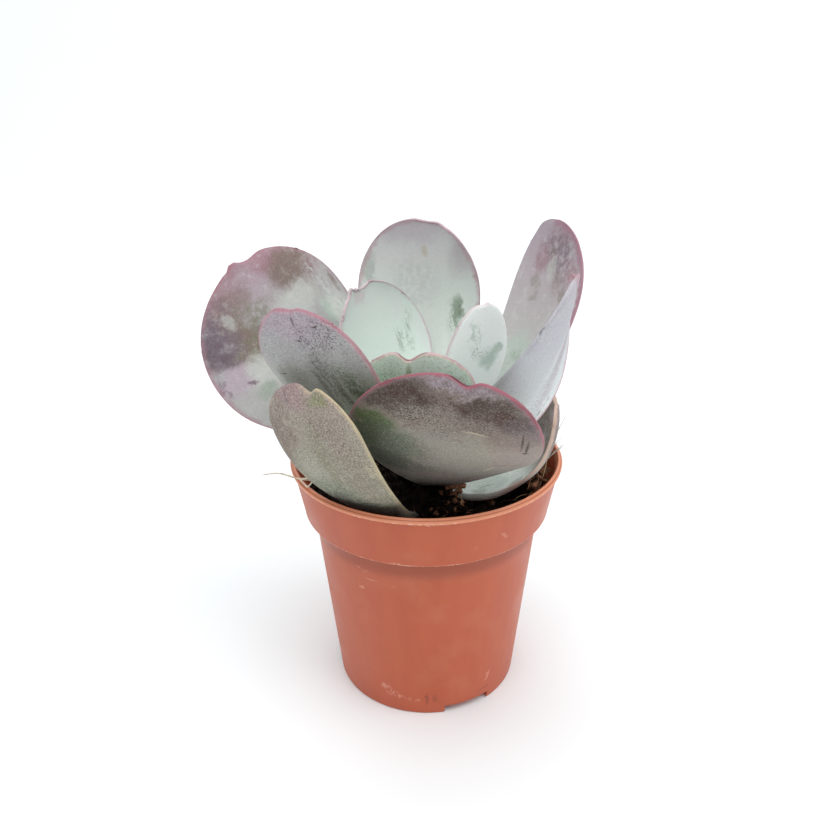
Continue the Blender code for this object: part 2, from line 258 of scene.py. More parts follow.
# %% Pot shape
# In mm; radii, and heights where the name ends in Z. The first two are those of the solid.
RIM_RADIUS, _, POT_HEIGHT = solid_box("pot")[1]
COLLAR_TOP = 26.9
COLLAR_LOW = 25.15
COLLAR_LOW_Z = 40.6
BODY_TOP = 23.2
BODY_TOP_Z = 39.6
FOOT_RADIUS = 19.2
WALL = 1.0
FLOOR_RISE = 1.6
PAD_RADIUS = 8.0
POT_SIDES = 160
SMOOTH_ANGLE = 38


def arc(centre, radius, start, end, steps):
    """Stations round a circle arc in the (radius, height) plane."""
    turns = [math.radians(start + (end - start) * i / steps) for i in range(steps + 1)]
    return [(centre[0] + radius * math.cos(t), centre[1] + radius * math.sin(t)) for t in turns]


def pot_stations():
    """From the middle of the underside, up the outside, over the lip and down the inside."""
    lip_foot = POT_HEIGHT - 1.0
    slope = (BODY_TOP - FOOT_RADIUS) / BODY_TOP_Z
    under = [(PAD_RADIUS, 0.0), (PAD_RADIUS + 0.4, 0.0), (PAD_RADIUS + 1.9, FLOOR_RISE),
             (FOOT_RADIUS - 2.1, FLOOR_RISE), (FOOT_RADIUS - 1.7, 0.1), (FOOT_RADIUS - 1.5, 0.0)]
    foot = [(FOOT_RADIUS - 0.45, 0.0)] + arc((FOOT_RADIUS - 0.45, 0.45), 0.5, -70, -5, 4)
    wall = [(FOOT_RADIUS + slope * z, z) for z in (1.2, 12.0, 24.0, 34.0, BODY_TOP_Z - 0.7)]
    shoulder = [(BODY_TOP + 0.05, BODY_TOP_Z - 0.25), (BODY_TOP + 0.3, BODY_TOP_Z)]
    shoulder += arc((COLLAR_LOW - 0.8, COLLAR_LOW_Z), 0.8, -75, 0, 6)
    collar = [(COLLAR_LOW + 0.1, COLLAR_LOW_Z + 0.6), (COLLAR_TOP - 0.05, lip_foot - 0.6),
              (COLLAR_TOP, lip_foot - 0.3), (RIM_RADIUS - 0.25, lip_foot - 0.05),
              (RIM_RADIUS - 0.08, lip_foot)]
    lip = arc((RIM_RADIUS - 0.3, lip_foot + 0.35), 0.3, -20, 75, 4)
    lip += [(RIM_RADIUS - 0.42, POT_HEIGHT - 0.24)]
    lip += arc((RIM_RADIUS - 0.72, POT_HEIGHT - 0.3), 0.3, 60, 170, 6)
    inside = [(COLLAR_TOP - WALL, lip_foot - WALL), (COLLAR_LOW - WALL, COLLAR_LOW_Z + WALL),
              (BODY_TOP - WALL, BODY_TOP_Z - WALL / 2), (FOOT_RADIUS - WALL + 0.3, 3.6),
              (FOOT_RADIUS - WALL - 0.7, 2.6), (PAD_RADIUS + 1.6, 2.6), (PAD_RADIUS, WALL)]
    return under + foot + wall + shoulder + collar + lip + inside


def extrude_rings(stations, sides):
    """Grows a turned shell from one circle, ring by ring; both ends are filled flat."""
    start_piece()
    radius, height = stations[0]
    bpy.ops.mesh.primitive_circle_add(vertices=sides, radius=radius * MM, fill_type="NGON",
                                      location=(0.0, 0.0, height * MM))
    piece = bpy.context.object
    bpy.ops.object.transform_apply(location=True)
    bpy.ops.object.mode_set(mode="EDIT")
    bpy.ops.mesh.select_mode(type="EDGE")
    bpy.ops.mesh.select_all(action="SELECT")
    for (old_radius, old_height), (radius, height) in zip(stations, stations[1:]):
        bpy.ops.mesh.extrude_edges_move(
            TRANSFORM_OT_translate={"value": (0.0, 0.0, (height - old_height) * MM)})
        share = radius / old_radius
        bpy.ops.transform.resize(value=(share, share, 1.0), center_override=(0.0, 0.0, 0.0))
    bpy.ops.mesh.edge_face_add()
    bpy.ops.mesh.select_all(action="SELECT")
    bpy.ops.mesh.normals_make_consistent(inside=False)
    bpy.ops.object.mode_set(mode="OBJECT")
    return piece


pot = extrude_rings(pot_stations(), POT_SIDES)
print("pot", POT_HEIGHT, "mm high, rim", RIM_RADIUS, "mm in radius,", len(pot_stations()), "rings")

# %% [markdown]
# The foot has three flat notches, so that water can leave, and a hole in the floor behind each.
# One small block and one rod cut all of them: each is added at its place, and a Boolean
# modifier takes it away from the pot.

# %% Drain notches and holes
DRAIN_COUNT = 3
DRAIN_FIRST_ANGLE = -64.0
NOTCH_SIZE = (6.0, 10.0, 3.6)
NOTCH_INSET = 0.8
HOLE_RADIUS = 2.0
HOLE_RING = 13.0
HOLE_MIDDLE = 2.0
HOLE_DEPTH = 6.0


def cut_away(piece, cutter):
    """Takes the cutter's shape out of a piece and removes the cutter."""
    boolean = piece.modifiers.new("cut", "BOOLEAN")
    boolean.operation = "DIFFERENCE"
    boolean.solver = "EXACT"
    boolean.object = cutter
    apply_all(piece)
    bpy.data.objects.remove(cutter, do_unlink=True)


for i in range(DRAIN_COUNT):
    turn = math.radians(DRAIN_FIRST_ANGLE + 360 * i / DRAIN_COUNT)
    across = Vector((math.cos(turn), math.sin(turn), 0.0)) * MM
    start_piece()
    bpy.ops.mesh.primitive_cube_add(size=MM, location=across * (FOOT_RADIUS - NOTCH_INSET),
                                    rotation=(0.0, 0.0, turn), scale=NOTCH_SIZE)
    cut_away(pot, bpy.context.object)
    start_piece()
    middle = across * HOLE_RING + Vector((0, 0, HOLE_MIDDLE * MM))
    bpy.ops.mesh.primitive_cylinder_add(vertices=32, radius=HOLE_RADIUS * MM,
                                        depth=HOLE_DEPTH * MM, location=middle)
    cut_away(pot, bpy.context.object)
start_piece()
pot.select_set(True)
bpy.context.view_layer.objects.active = pot
bpy.ops.object.shade_smooth_by_angle(angle=math.radians(SMOOTH_ANGLE))
print("pot cut at", DRAIN_COUNT, "places")

# %% [markdown]
# The plastic is polypropylene, moulded and slightly satin: a brick orange with a milky haze
# where it scatters light, and faint flow streaks down the wall. A picture could be wrapped round
# it, but patterns worked out from the place on the pot stay sharp from every side. Noise makes
# them all. Cut off between two levels it gives patches, and added to a place it makes clean
# edges ragged.


# %% Patterns for plastic and skin
def position_mm(tree, stretch=(1.0, 1.0, 1.0)):
    """Object coordinates in millimetres, stretched where a pattern runs along one way."""
    place = add(tree, "TexCoord").outputs["Object"]
    return add(tree, "Mapping", place, None, None, [value / MM for value in stretch])


def patches(tree, where, size, low, high, most=1.0, detail=4.0, rough=0.55):
    """Ragged patches about one size across, in mm: noise cut off between two levels."""
    lumps = add(tree, "TexNoise", where, 1.0 / size, detail, rough)
    return add(tree, "MapRange", lumps, low, high, 0.0, most, **SMOOTH)


def uneven(tree, where, reach, size):
    """A wandering shift of about the reach, in mm, so that edges turn out ragged."""
    drift = add(tree, "TexNoise", where, 1.0 / size, 6.0, 0.72).outputs["Color"]
    middle = add(tree, "VectorMath", drift, (0.5, 0.5, 0.5), operation="SUBTRACT")
    return add(tree, "VectorMath", middle, reach, operation="SCALE")


def spot(colour, across, along, reach, strength=0.8, pattern=None, turn=0):
    """A stain: its middle and its reach across and along in mm, and how strong."""
    return colour, across, along, reach[0], reach[1], turn, strength, pattern


def coloured_marks(tree, colour, spots, warped, sharp, patterns):
    """Lays stains on a colour, each a ragged oval, or a clean one where it is a scratch."""
    for code, x, y, reach_x, reach_y, turn, strength, pattern in spots:
        oval = add(tree, "Mapping", sharp if pattern == "scratch" else warped, (x, y, 0.0),
                   (0.0, 0.0, math.radians(turn)), (reach_x, reach_y, 1.0), vector_type="TEXTURE")
        away = add(tree, "VectorMath", oval, operation="LENGTH")
        share = add(tree, "MapRange", away, 1.4, 0.55, 0.0, strength, **SMOOTH)
        if pattern in patterns:
            share = add(tree, "Math", share, patterns[pattern], **TIMES)
        colour = add(tree, "Mix", share, colour, linear(code), **RGB)
    return colour


print("patterns: patches, ragged edges and placed marks")

# %% [markdown]
# A used pot is never one colour. Its lip is painted paler, as a painted highlight where the light
# catches it, with fine rings from the mould, and white burrs stand where the mould halves met.
# Under the collar the wall is painted darker, as painted shade. Soil and handling leave scuffs and
# grime low on the wall. These marks could come from noise alone, but the photo shows where they
# are, so each is placed one by one, at its distance from the middle and its height.

# %% Marks on the pot
SCUFF = "#e0a58e"
GRIME = "#7c3a24"
POT_MARKS = [
    spot(SCUFF, -7.6, 5.4, (0.9, 1.4), 0.6, "mottle", turn=10),
    spot(SCUFF, -6.0, 4.4, (0.7, 0.8), 0.6, "mottle"),
    spot(SCUFF, -8.8, 6.2, (0.5, 0.8), 0.5),
    spot(SCUFF, -3.5, 4.0, (2.2, 0.5), 0.3, "mottle", turn=-12),
    spot(GRIME, 0.0, 4.2, (0.35, 1.7), 0.6),
    spot(GRIME, 1.6, 4.6, (0.5, 1.1), 0.35),
    spot(SCUFF, 12.5, 6.8, (0.3, 1.3), 0.45, turn=-15),
    spot(GRIME, 11.8, 3.6, (1.2, 0.3), 0.4, turn=20),
    spot(SCUFF, -12.5, 35.5, (2.6, 0.35), 0.45, "streaks", turn=-8),
    spot(SCUFF, -8.5, 33.8, (3.2, 0.4), 0.4, "streaks", turn=-5),
    spot(SCUFF, -12.5, 31.0, (0.5, 0.3), 0.4),
    spot(SCUFF, 8.5, 43.5, (0.7, 0.5), 0.35, "mottle"),
    spot(SCUFF, 14.5, 44.5, (0.3, 0.9), 0.3, turn=30),
    spot(SCUFF, -5.5, 40.3, (1.2, 0.4), 0.7, "mottle"),
    spot(SCUFF, 1.5, 50.2, (3.0, 0.4), 0.7, "mottle"),
]
print(len(POT_MARKS), "marks on the pot")

# %% [markdown]
# The finish is built up like paint: the brick colour first, then haze, the lip with its painted
# highlight and its rings, the burrs, the painted shade under the collar, and last the marks, which
# lie on the front only. One picture could hold all of it, but each layer on its own can be made
# stronger or weaker.

# %% Finish of the pot
# Moulded polypropylene is satin: it gives the eye a broad, soft glow and no mirror image.
plastic, tree, shader = new_material("terracotta_polypropylene", {"Roughness": 0.42, "IOR": 1.49})
# Sizes in mm. The turning marks of the mould lie 0.6 mm apart. Its fine texture is under 0.1 mm,
# so that one is drawn coarser, to show at all.
LIP_RINGS_PER_MM = 1.7
PLASTIC_GRAIN = 0.35
STREAK_SIZE = 5.0
HAZE_SIZE = 9.0
BURR_SIZE = 0.9
SCUFF_GRAIN = 0.8
SHADE_STARTS_Z = 34.6
SHADE_FULL_Z = 37.4

where = position_mm(tree)
place = add(tree, "SeparateXYZ", where)
height = place.outputs["Z"]
streaks = patches(tree, position_mm(tree, (1.0, 1.0, 0.12)), STREAK_SIZE, 0.35, 0.7)
colour = add(tree, "Mix", streaks, linear("#be5a37"), linear("#b95534"), **RGB)
haze = add(tree, "TexNoise", where, 1.0 / HAZE_SIZE, 4.0, 0.55)
milky = add(tree, "MapRange", haze, 0.45, 0.75, 0.0, 0.35, **SMOOTH)
colour = add(tree, "Mix", milky, colour, linear("#c5765a"), **RGB)
# Painted highlight: the lip is made paler all round, where the light catches its top.
lip = add(tree, "MapRange", height, POT_HEIGHT - 1.3, POT_HEIGHT - 0.9, **SMOOTH)
paler = add(tree, "Math", lip, 0.85, **TIMES)
colour = add(tree, "Mix", paler, colour, linear("#e59670"), **RGB)

level = add(tree, "CombineXYZ", place.outputs["X"], place.outputs["Y"])
radius = add(tree, "VectorMath", level, operation="LENGTH")
turns = add(tree, "Math", radius, LIP_RINGS_PER_MM * math.tau, **TIMES)
rings = add(tree, "Math", turns, operation="SINE")
ring_lines = add(tree, "MapRange", rings, 0.1, 0.8, 0.0, 0.7, **SMOOTH)
ring_lines = add(tree, "Math", lip, ring_lines, **TIMES)
colour = add(tree, "Mix", ring_lines, colour, linear("#ad5436"), **RGB)
burrs = patches(tree, where, BURR_SIZE, 0.5, 0.6, 0.8, rough=0.7)
for edge_height in (POT_HEIGHT - 1.0, COLLAR_LOW_Z - 0.6):
    above = add(tree, "Math", height, edge_height, operation="SUBTRACT")
    away = add(tree, "Math", above, operation="ABSOLUTE")
    near = add(tree, "MapRange", away, 0.4, 0.1, **SMOOTH)
    near = add(tree, "Math", near, burrs, **TIMES)
    colour = add(tree, "Mix", near, colour, linear("#ecc0a8"), **RGB)

# Painted shade: the wall is darkened below the collar, where the collar shades it.
from_below = add(tree, "MapRange", height, SHADE_STARTS_Z, SHADE_FULL_Z, **SMOOTH)
up_to_collar = add(tree, "MapRange", height, BODY_TOP_Z + 0.5, BODY_TOP_Z, **SMOOTH)
shaded = add(tree, "Math", from_below, up_to_collar, **TIMES)
shaded = add(tree, "Math", shaded, 0.7, **TIMES)
colour = add(tree, "Mix", shaded, colour, linear("#97452b"), **RGB)
front = add(tree, "CombineXYZ", place.outputs["X"], height)
on_front = add(tree, "VectorMath", front, uneven(tree, where, 2.5, 1.2), operation="ADD")
rubbed = {"mottle": patches(tree, where, SCUFF_GRAIN, 0.45, 0.6, rough=0.6),
          "streaks": patches(tree, position_mm(tree, (0.3, 0.3, 2.0)), 1.0, 0.5, 0.65)}
worn = coloured_marks(tree, colour, POT_MARKS, on_front, front, rubbed)
facing = add(tree, "MapRange", place.outputs["Y"], -2.0, -4.0, **SMOOTH)
colour = add(tree, "Mix", facing, colour, worn, **RGB)
feed(tree, colour, shader.inputs["Base Color"])

grain = add(tree, "TexNoise", where, 1.0 / PLASTIC_GRAIN, 3.0, 0.55)
grooves = add(tree, "Math", lip, rings, **TIMES)
grooves = add(tree, "Math", grooves, 0.8, **TIMES)
relief = add(tree, "Math", grain, grooves, operation="ADD")
feed(tree, add(tree, "Bump", 0.1, 0.2 * MM, None, relief), shader.inputs["Normal"])
satin = add(tree, "MapRange", haze, 0.3, 0.7, 0.36, 0.52, **SMOOTH)
feed(tree, satin, shader.inputs["Roughness"])
finish_piece(pot, "pot_plastic", [plastic], ["pot"])

# %% [markdown]
# ## The soil
#
# The pot is filled with dark peat and coir. The solid's own surface already has the planting
# hollow, so it stays as the bed and only gets a finish: one noise raises the crumbs and also paints
# them, dark in their hollows as painted shade and light on their tops as painted light. The same
# recipe serves coir and bark.

# %% Peat bed
def earthy(name, values, lumps, colours, relief, stretch=(1.0, 1.0, 1.0)):
    """Dull, lumpy stuff in two colours: its lumps raise it, with painted shade and light on them.

    lumps: size in mm, detail and roughness of the noise, and the levels where it starts and ends
    relief: strength, and depth in mm
    """
    material, tree, shader = new_material(name, values)
    size, detail, rough, low, high = lumps
    grain = add(tree, "TexNoise", position_mm(tree, stretch), 1.0 / size, detail, rough)
    # Painted shade and light: hollows of the noise get the dark colour, its raised tops the light one.
    share = add(tree, "MapRange", grain, low, high, **SMOOTH)
    colour = add(tree, "Mix", share, linear(colours[0]), linear(colours[1]), **RGB)
    feed(tree, colour, shader.inputs["Base Color"])
    strength, depth = relief
    feed(tree, add(tree, "Bump", strength, depth * MM, None, grain), shader.inputs["Normal"])
    return material


# Damp peat swallows light: it gives the eye a near black bed, with painted shade in the hollows
# of its lumps and painted light on their tops. Peat dust is finer than this, but 0.7 mm is the size
# of the crumbs that show.
peat = earthy("damp_peat", {"Roughness": 0.95, "Specular IOR Level": 0.15},
              (0.7, 6.0, 0.7, 0.35, 0.7), ("#0e0a08", "#2a1c14"), (0.9, 0.8))
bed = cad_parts["soil"]
bed.data.materials.clear()
bed.data.materials.append(peat)
bed_tree = BVHTree.FromObject(bed, bpy.context.evaluated_depsgraph_get())
ABOVE_ALL = 0.08


def bed_height(x, y):
    """Height of the soil's surface at a place, in metres, or None outside it."""
    hit = bed_tree.ray_cast(Vector((x, y, ABOVE_ALL)), Vector((0.0, 0.0, -1.0)))[0]
    return hit.z if hit else None


BED_LEVEL = round(bed_height(0.012, 0.008) / MM, 1)
print("soil bed at", BED_LEVEL, "mm")

# %% [markdown]
# Loose crumbs break up the bed's smooth surface. They could be a particle system, but a plain
# scatter gives a real mesh. A crumb is one small icosphere, pushed out of round, and every copy is
# turned, sized and dropped where a ray from above meets the bed. A few heaps lean on the crown,
# where the plant was pressed in, and on the right wall.

# %% Crumbs of peat
CRUMB_COUNT = 1500
HEAP_CRUMBS = 170
# x, y, reach and rise of each heap, in mm; HEAP_DEPTH is how deep a heap is for its width.
HEAPS = [(1.0, -12.0, 6.0, 5.0), (4.6, -12.0, 4.5, 9.5), (11.5, -10.5, 3.0, 1.6),
         (20.5, -5.0, 3.0, 3.5)]
HEAP_DEPTH = 0.6
SOIL_RADIUS = 23.6
# In metres, as heights on the bed are: lower than this is the gap at the wall.
LOWEST_BED = 0.035
# How far below the bed's level chips bridge the planting hollow, in mm
LOOSE_DIP = 1.4
draw = random.Random(11)


def lump_mesh(name, seed, squash):
    """One crumb about 2 mm across: an icosphere pushed out of round."""
    start_piece()
    bpy.ops.mesh.primitive_ico_sphere_add(subdivisions=2, radius=MM)
    lump = bpy.context.object
    own = random.Random(seed)
    for vertex in lump.data.vertices:
        vertex.co *= own.uniform(0.65, 1.15)
        vertex.co.z *= squash
    lump.data.name = name
    mesh = lump.data
    bpy.data.objects.remove(lump, do_unlink=True)
    return mesh


def strewn(meshes, places):
    """Joins copies of the meshes, one for each place matrix, into one object."""
    start_piece()
    copies = []
    for index, place in enumerate(places):
        mesh = meshes[index % len(meshes)].copy()
        mesh.transform(place)
        copy = bpy.data.objects.new("copy", mesh)
        bpy.context.scene.collection.objects.link(copy)
        copy.select_set(True)
        copies.append(copy)
    bpy.context.view_layer.objects.active = copies[0]
    bpy.ops.object.join()
    return bpy.context.object


def on_bed(size_low, size_high, sink):
    """A random place matrix for a crumb that lies on the bed; most crumbs are small."""
    while True:
        radius = SOIL_RADIUS * MM * math.sqrt(draw.random())
        turn = draw.uniform(0.0, math.tau)
        x, y = radius * math.cos(turn), radius * math.sin(turn)
        height = bed_height(x, y)
        if height and height > LOWEST_BED:
            break
    size = size_low * (size_high / size_low) ** (draw.random() ** 1.8)
    spin = Euler([draw.uniform(0.0, math.tau) for _ in range(3)]).to_matrix().to_4x4()
    lift = Matrix.Translation((x, y, height + size * MM * (0.5 - sink)))
    return lift @ spin @ Matrix.Scale(size, 4)


def ground(x, y):
    """Height to lay a chip at: loose stuff bridges the planting hollow and meets the wall."""
    return max(bed_height(x, y) or 0.0, (BED_LEVEL - LOOSE_DIP) * MM)


def on_heap(x, y, spread, rise):
    """A random place matrix in a small heap of crumbs."""
    place = on_bed(0.4, 1.2, 0.3)
    turn, reach = draw.uniform(0.0, math.tau), spread * draw.random()
    place.translation.x = (x + reach * math.cos(turn)) * MM
    place.translation.y = (y + reach * math.sin(turn) * HEAP_DEPTH) * MM
    lift = rise * (1.0 - reach / spread) * draw.random()
    place.translation.z = ground(place.translation.x, place.translation.y) + lift * MM
    return place


lumps = [lump_mesh("crumb_%d" % i, 30 + i, 0.8) for i in range(4)]
places = [on_bed(0.25, 1.1, 0.3) for _ in range(CRUMB_COUNT)]
for heap in HEAPS:
    places += [on_heap(*heap) for _ in range(HEAP_CRUMBS)]
crumbs = strewn(lumps, places)
finish_piece(crumbs, "peat_crumbs", [peat])

# %% [markdown]
# Among the peat lie brown coir chips, most of them where the crown was pressed in and along the
# right wall. They could be modelled one by one, but the same lumps do, pulled long and flat. Those
# that can be told apart have their own place, and small ones are strewn along the right wall.

# %% Coir chips
CHIPS = [
    # x, y, height above the ground, length, width in mm, and turn in degrees
    (5.4, -10.5, 0.8, 2.8, 1.8, 20), (5.6, -8.0, 1.6, 2.4, 1.5, 80), (6.8, -6.5, 1.4, 2.8, 1.4, -30),
    (5.9, -4.6, 2.4, 2.6, 1.6, 50), (3.8, -12.4, 0.5, 2.0, 1.2, 0), (7.6, -11.6, 0.4, 1.8, 1.0, 60),
    (7.2, -8.8, 2.2, 2.0, 1.2, 10), (11.0, -10.2, 0.8, 3.2, 1.6, 15),
    (12.6, -9.0, 1.2, 2.4, 1.4, -40), (10.2, -12.6, 0.4, 2.2, 1.2, 70),
    (14.2, -11.5, 0.5, 1.8, 1.0, -15), (-4.0, -14.4, 0.4, 2.4, 1.2, 40),
    (-1.5, -13.0, 0.6, 2.6, 1.2, -25), (1.0, -16.0, 0.4, 2.2, 1.2, 10),
    (22.3, -6.5, 2.0, 3.2, 1.6, 70), (23.2, -2.5, 3.5, 3.0, 1.5, 85), (23.3, 1.5, 4.5, 3.2, 1.4, 95),
    (21.6, -9.6, 1.0, 2.6, 1.4, 50), (19.8, -12.0, 0.6, 2.4, 1.5, 30),
    (22.6, 5.0, 4.0, 2.8, 1.4, 100), (21.2, -3.5, 1.5, 2.2, 1.3, 20), (19.0, -9.0, 0.7, 2.2, 1.2, -20),
    (23.6, -0.5, 5.6, 2.4, 1.0, 60), (22.9, -4.8, 4.2, 2.0, 1.0, 120),
    (4.6, -11.8, 1.4, 2.2, 1.6, 35), (5.8, -11.6, 2.4, 2.4, 1.5, -20), (5.0, -11.4, 3.5, 2.0, 1.4, 70),
    (3.2, -12.0, 0.9, 1.8, 1.3, 10), (6.8, -11.0, 3.2, 1.8, 1.2, 45), (1.6, -12.4, 0.8, 1.8, 1.2, -35),
    (-0.6, -12.6, 1.4, 2.2, 1.3, 15), (0.8, -12.2, 2.6, 2.2, 1.4, -50),
    (2.2, -12.0, 2.2, 2.4, 1.4, 25), (3.4, -11.8, 3.4, 2.2, 1.4, -15), (1.6, -11.8, 4.0, 1.8, 1.2, 60),
    (4.4, -11.2, 4.8, 2.0, 1.2, 30), (-1.8, -12.4, 2.2, 1.6, 1.1, -30), (2.8, -12.6, 1.0, 2.2, 1.2, 80),
    (2.6, -12.6, 3.6, 2.2, 1.4, 15), (3.4, -12.4, 6.4, 2.4, 1.5, -25), (4.4, -12.2, 7.8, 2.2, 1.5, 50),
    (5.4, -11.9, 7.4, 2.4, 1.4, 5), (4.8, -12.8, 6.4, 2.4, 1.5, -60), (6.2, -11.8, 6.2, 2.2, 1.4, 30),
    (5.6, -12.6, 5.0, 2.4, 1.5, 75), (3.8, -13.0, 4.6, 2.2, 1.3, -10), (2.2, -12.9, 2.2, 2.0, 1.3, 40),
    (6.4, -12.4, 3.4, 2.2, 1.3, -45), (4.8, -13.4, 3.0, 2.4, 1.4, 20), (7.0, -11.2, 7.0, 1.8, 1.2, 0),
    (24.0, 3.0, 5.8, 2.2, 1.0, 95), (23.8, -3.5, 5.6, 2.2, 1.0, 75), (24.0, 1.0, 6.4, 2.0, 0.9, 110),
]
WALL_CHIPS = 45

# Coir husk is dry and dull: it gives the eye warm brown lumps, painted lighter on their tops as
# painted light and darker in their hollows as painted shade. Its fibres are 0.2 mm thick, too fine
# to show on a chip, so they are drawn as 0.8 mm lumps.
coir = earthy("brown_coir", {"Roughness": 0.9, "Specular IOR Level": 0.2},
              (0.8, 5.0, 0.7, 0.35, 0.65), ("#3d271c", "#9c6f52"), (0.8, 0.5))


def chip_place(x, y, lift, length, width, turn):
    """Where a chip lies, with its length turned in the level plane."""
    height = ground(x * MM, y * MM) + lift * MM
    spin = Euler((0.4, -0.3, math.radians(turn))).to_matrix().to_4x4()
    stretch = Matrix.Diagonal((length / 2, width / 2, width / 3, 1.0))
    return Matrix.Translation((x * MM, y * MM, height)) @ spin @ stretch


def wall_chip():
    """A small chip pressed against the right wall."""
    turn = math.radians(draw.uniform(-38.0, 24.0))
    radius = draw.uniform(23.4, 24.4)
    return chip_place(radius * math.cos(turn), radius * math.sin(turn), draw.uniform(0.5, 6.4),
                      draw.uniform(1.0, 2.6), draw.uniform(0.7, 1.4), draw.uniform(0.0, 180.0))


flakes = [lump_mesh("chip_%d" % i, 50 + i, 0.9) for i in range(3)]
places = [chip_place(*chip) for chip in CHIPS] + [wall_chip() for _ in range(WALL_CHIPS)]
chips = strewn(flakes, places)
finish_piece(chips, "coir_chips", [coir])

# %% [markdown]
# Coir also comes as loose fibres: a tangle along the right wall, a few hairs that stand over the
# rim, and one pale strand that lies across the rim on the left and doubles back. Hair particles
# could make them, but they can't be laid. So the ones that can be told apart are laid point by
# point.

# %% Routes of the fibres that are laid one by one
ROUTES = {
    "coir_fibres": (coir, [
        # thickness, then points: x, y, height above the bed's level, in mm
        (0.30, [(20.5, -8.5, 1.0), (22.5, -5.5, 3.0), (24.0, -1.0, 5.5), (24.2, 3.5, 6.5)]),
        (0.25, [(19.0, -11.0, 0.8), (21.8, -7.5, 4.0), (23.8, -4.0, 6.0)]),
        (0.25, [(21.5, -2.0, 1.5), (23.5, 1.0, 4.0), (24.0, 5.5, 6.5)]),
        (0.20, [(19.5, -6.0, 1.5), (22.5, -6.5, 3.5), (24.0, -7.0, 6.0)]),
        (0.25, [(17.5, -12.5, 0.8), (20.0, -9.5, 2.5), (23.0, -8.5, 3.0)]),
        (0.22, [(20.0, -1.0, 0.8), (22.5, -3.0, 3.5), (24.0, 0.5, 6.8), (23.0, 4.0, 7.4)]),
        (0.20, [(3.0, -14.5, 0.6), (5.5, -12.5, 1.6), (8.5, -13.0, 0.7)]),
        (0.18, [(8.5, -9.5, 0.8), (10.5, -8.0, 2.0), (13.5, -8.6, 0.8)]),
        (0.20, [(-6.0, -15.0, 0.5), (-3.0, -13.5, 1.4), (-0.5, -15.5, 0.5)]),
    ]),
    "straw_fibres": ("#d3b98c", [
        (0.22, [(22.0, -8.5, 3.0), (23.6, -5.5, 5.5), (24.6, -1.5, 7.0)]),
        (0.20, [(23.0, -3.5, 4.0), (24.4, 0.5, 7.4), (24.2, 4.5, 8.2)]),
        (0.18, [(21.0, -9.8, 2.5), (22.4, -8.0, 4.4), (22.0, -6.4, 6.2)]),
        (0.18, [(20.0, -4.5, 2.5), (22.5, -2.5, 5.6), (24.2, -3.0, 7.4)]),
        (0.20, [(17.4, -8.6, 1.0), (18.6, -7.9, 2.0), (19.9, -7.6, 1.6)]),
        (0.15, [(6.4, -12.6, 1.2), (7.4, -10.8, 2.2), (6.6, -9.2, 3.0)]),
    ]),
    "rim_strand": ("#e0d3bb", [
        (0.30, [(-31.8, -10.6, 7.8), (-29.6, -11.0, 8.4), (-27.6, -11.4, 8.6), (-25.4, -12.4, 8.2),
                (-24.0, -13.2, 8.5), (-22.4, -15.7, 8.1), (-22.1, -16.0, 8.1), (-21.3, -16.0, 9.0),
                (-20.6, -16.2, 10.2), (-22.0, -15.6, 9.7), (-24.4, -14.0, 8.9)]),
        (0.20, [(-26.2, -12.0, 8.6), (-24.2, -14.4, 8.9), (-21.6, -16.1, 9.6)]),
    ]),
    "soil_hairs": ("#e6e2da", [
        (0.22, [(25.2, 0.0, 9.5), (26.9, 0.5, 12.0), (28.1, 1.0, 15.0)]),
        (0.20, [(25.2, -0.6, 8.4), (26.8, -0.6, 10.2), (28.1, -0.2, 11.4)]),
        (0.30, [(24.6, -2.0, 6.8), (26.2, -1.8, 8.6), (27.6, -1.6, 9.8)]),
        (0.20, [(24.4, -1.4, 6.6), (26.4, -1.6, 8.6), (27.4, -2.4, 9.6)]),
        (0.16, [(25.0, 1.0, 8.0), (26.4, 1.5, 13.5), (27.0, 2.0, 17.0)]),
    ]),
}
print(sum(len(routes) for _, routes in ROUTES.values()), "fibres laid by hand")

# %% [markdown]
# The short fibres in the peat and the rest of the tangle can't be told apart, so they are strewn
# with a fixed seed. Each fibre is a curve with a round section, thinner at its ends, and all that
# share a finish become one mesh. Thin boxes would do from afar, but a curve bends softly.

# %% Fibres
SHORT_FIBRES = 90
WALL_FIBRES = 95


def short_fibre():
    """One short curl of coir on the peat, at a random place."""
    start = on_bed(1.0, 1.0, 0.3).translation / MM
    turn = draw.uniform(0.0, math.tau)
    length = draw.uniform(1.5, 5.0)
    points = []
    for i in range(3):
        turn += draw.uniform(-0.9, 0.9)
        lift = start.z - BED_LEVEL + 0.5 + (0.7 if i == 1 else 0.0)
        points.append((start.x + i * length / 2 * math.cos(turn),
                       start.y + i * length / 2 * math.sin(turn), lift))
    return draw.uniform(0.08, 0.2), [p for p in points if math.hypot(p[0], p[1]) < SOIL_RADIUS]


def wall_fibre():
    """One bent fibre of the tangle along the right wall."""
    turn = math.radians(draw.uniform(-38.0, 28.0))
    lift = draw.uniform(1.5, 6.5)
    points = []
    for _ in range(3):
        radius = draw.uniform(22.2, 24.3)
        points.append((radius * math.cos(turn), radius * math.sin(turn), lift))
        turn += math.radians(draw.uniform(-2.0, 7.0))
        lift += draw.uniform(-1.0, 1.4)
    return draw.uniform(0.12, 0.3), points


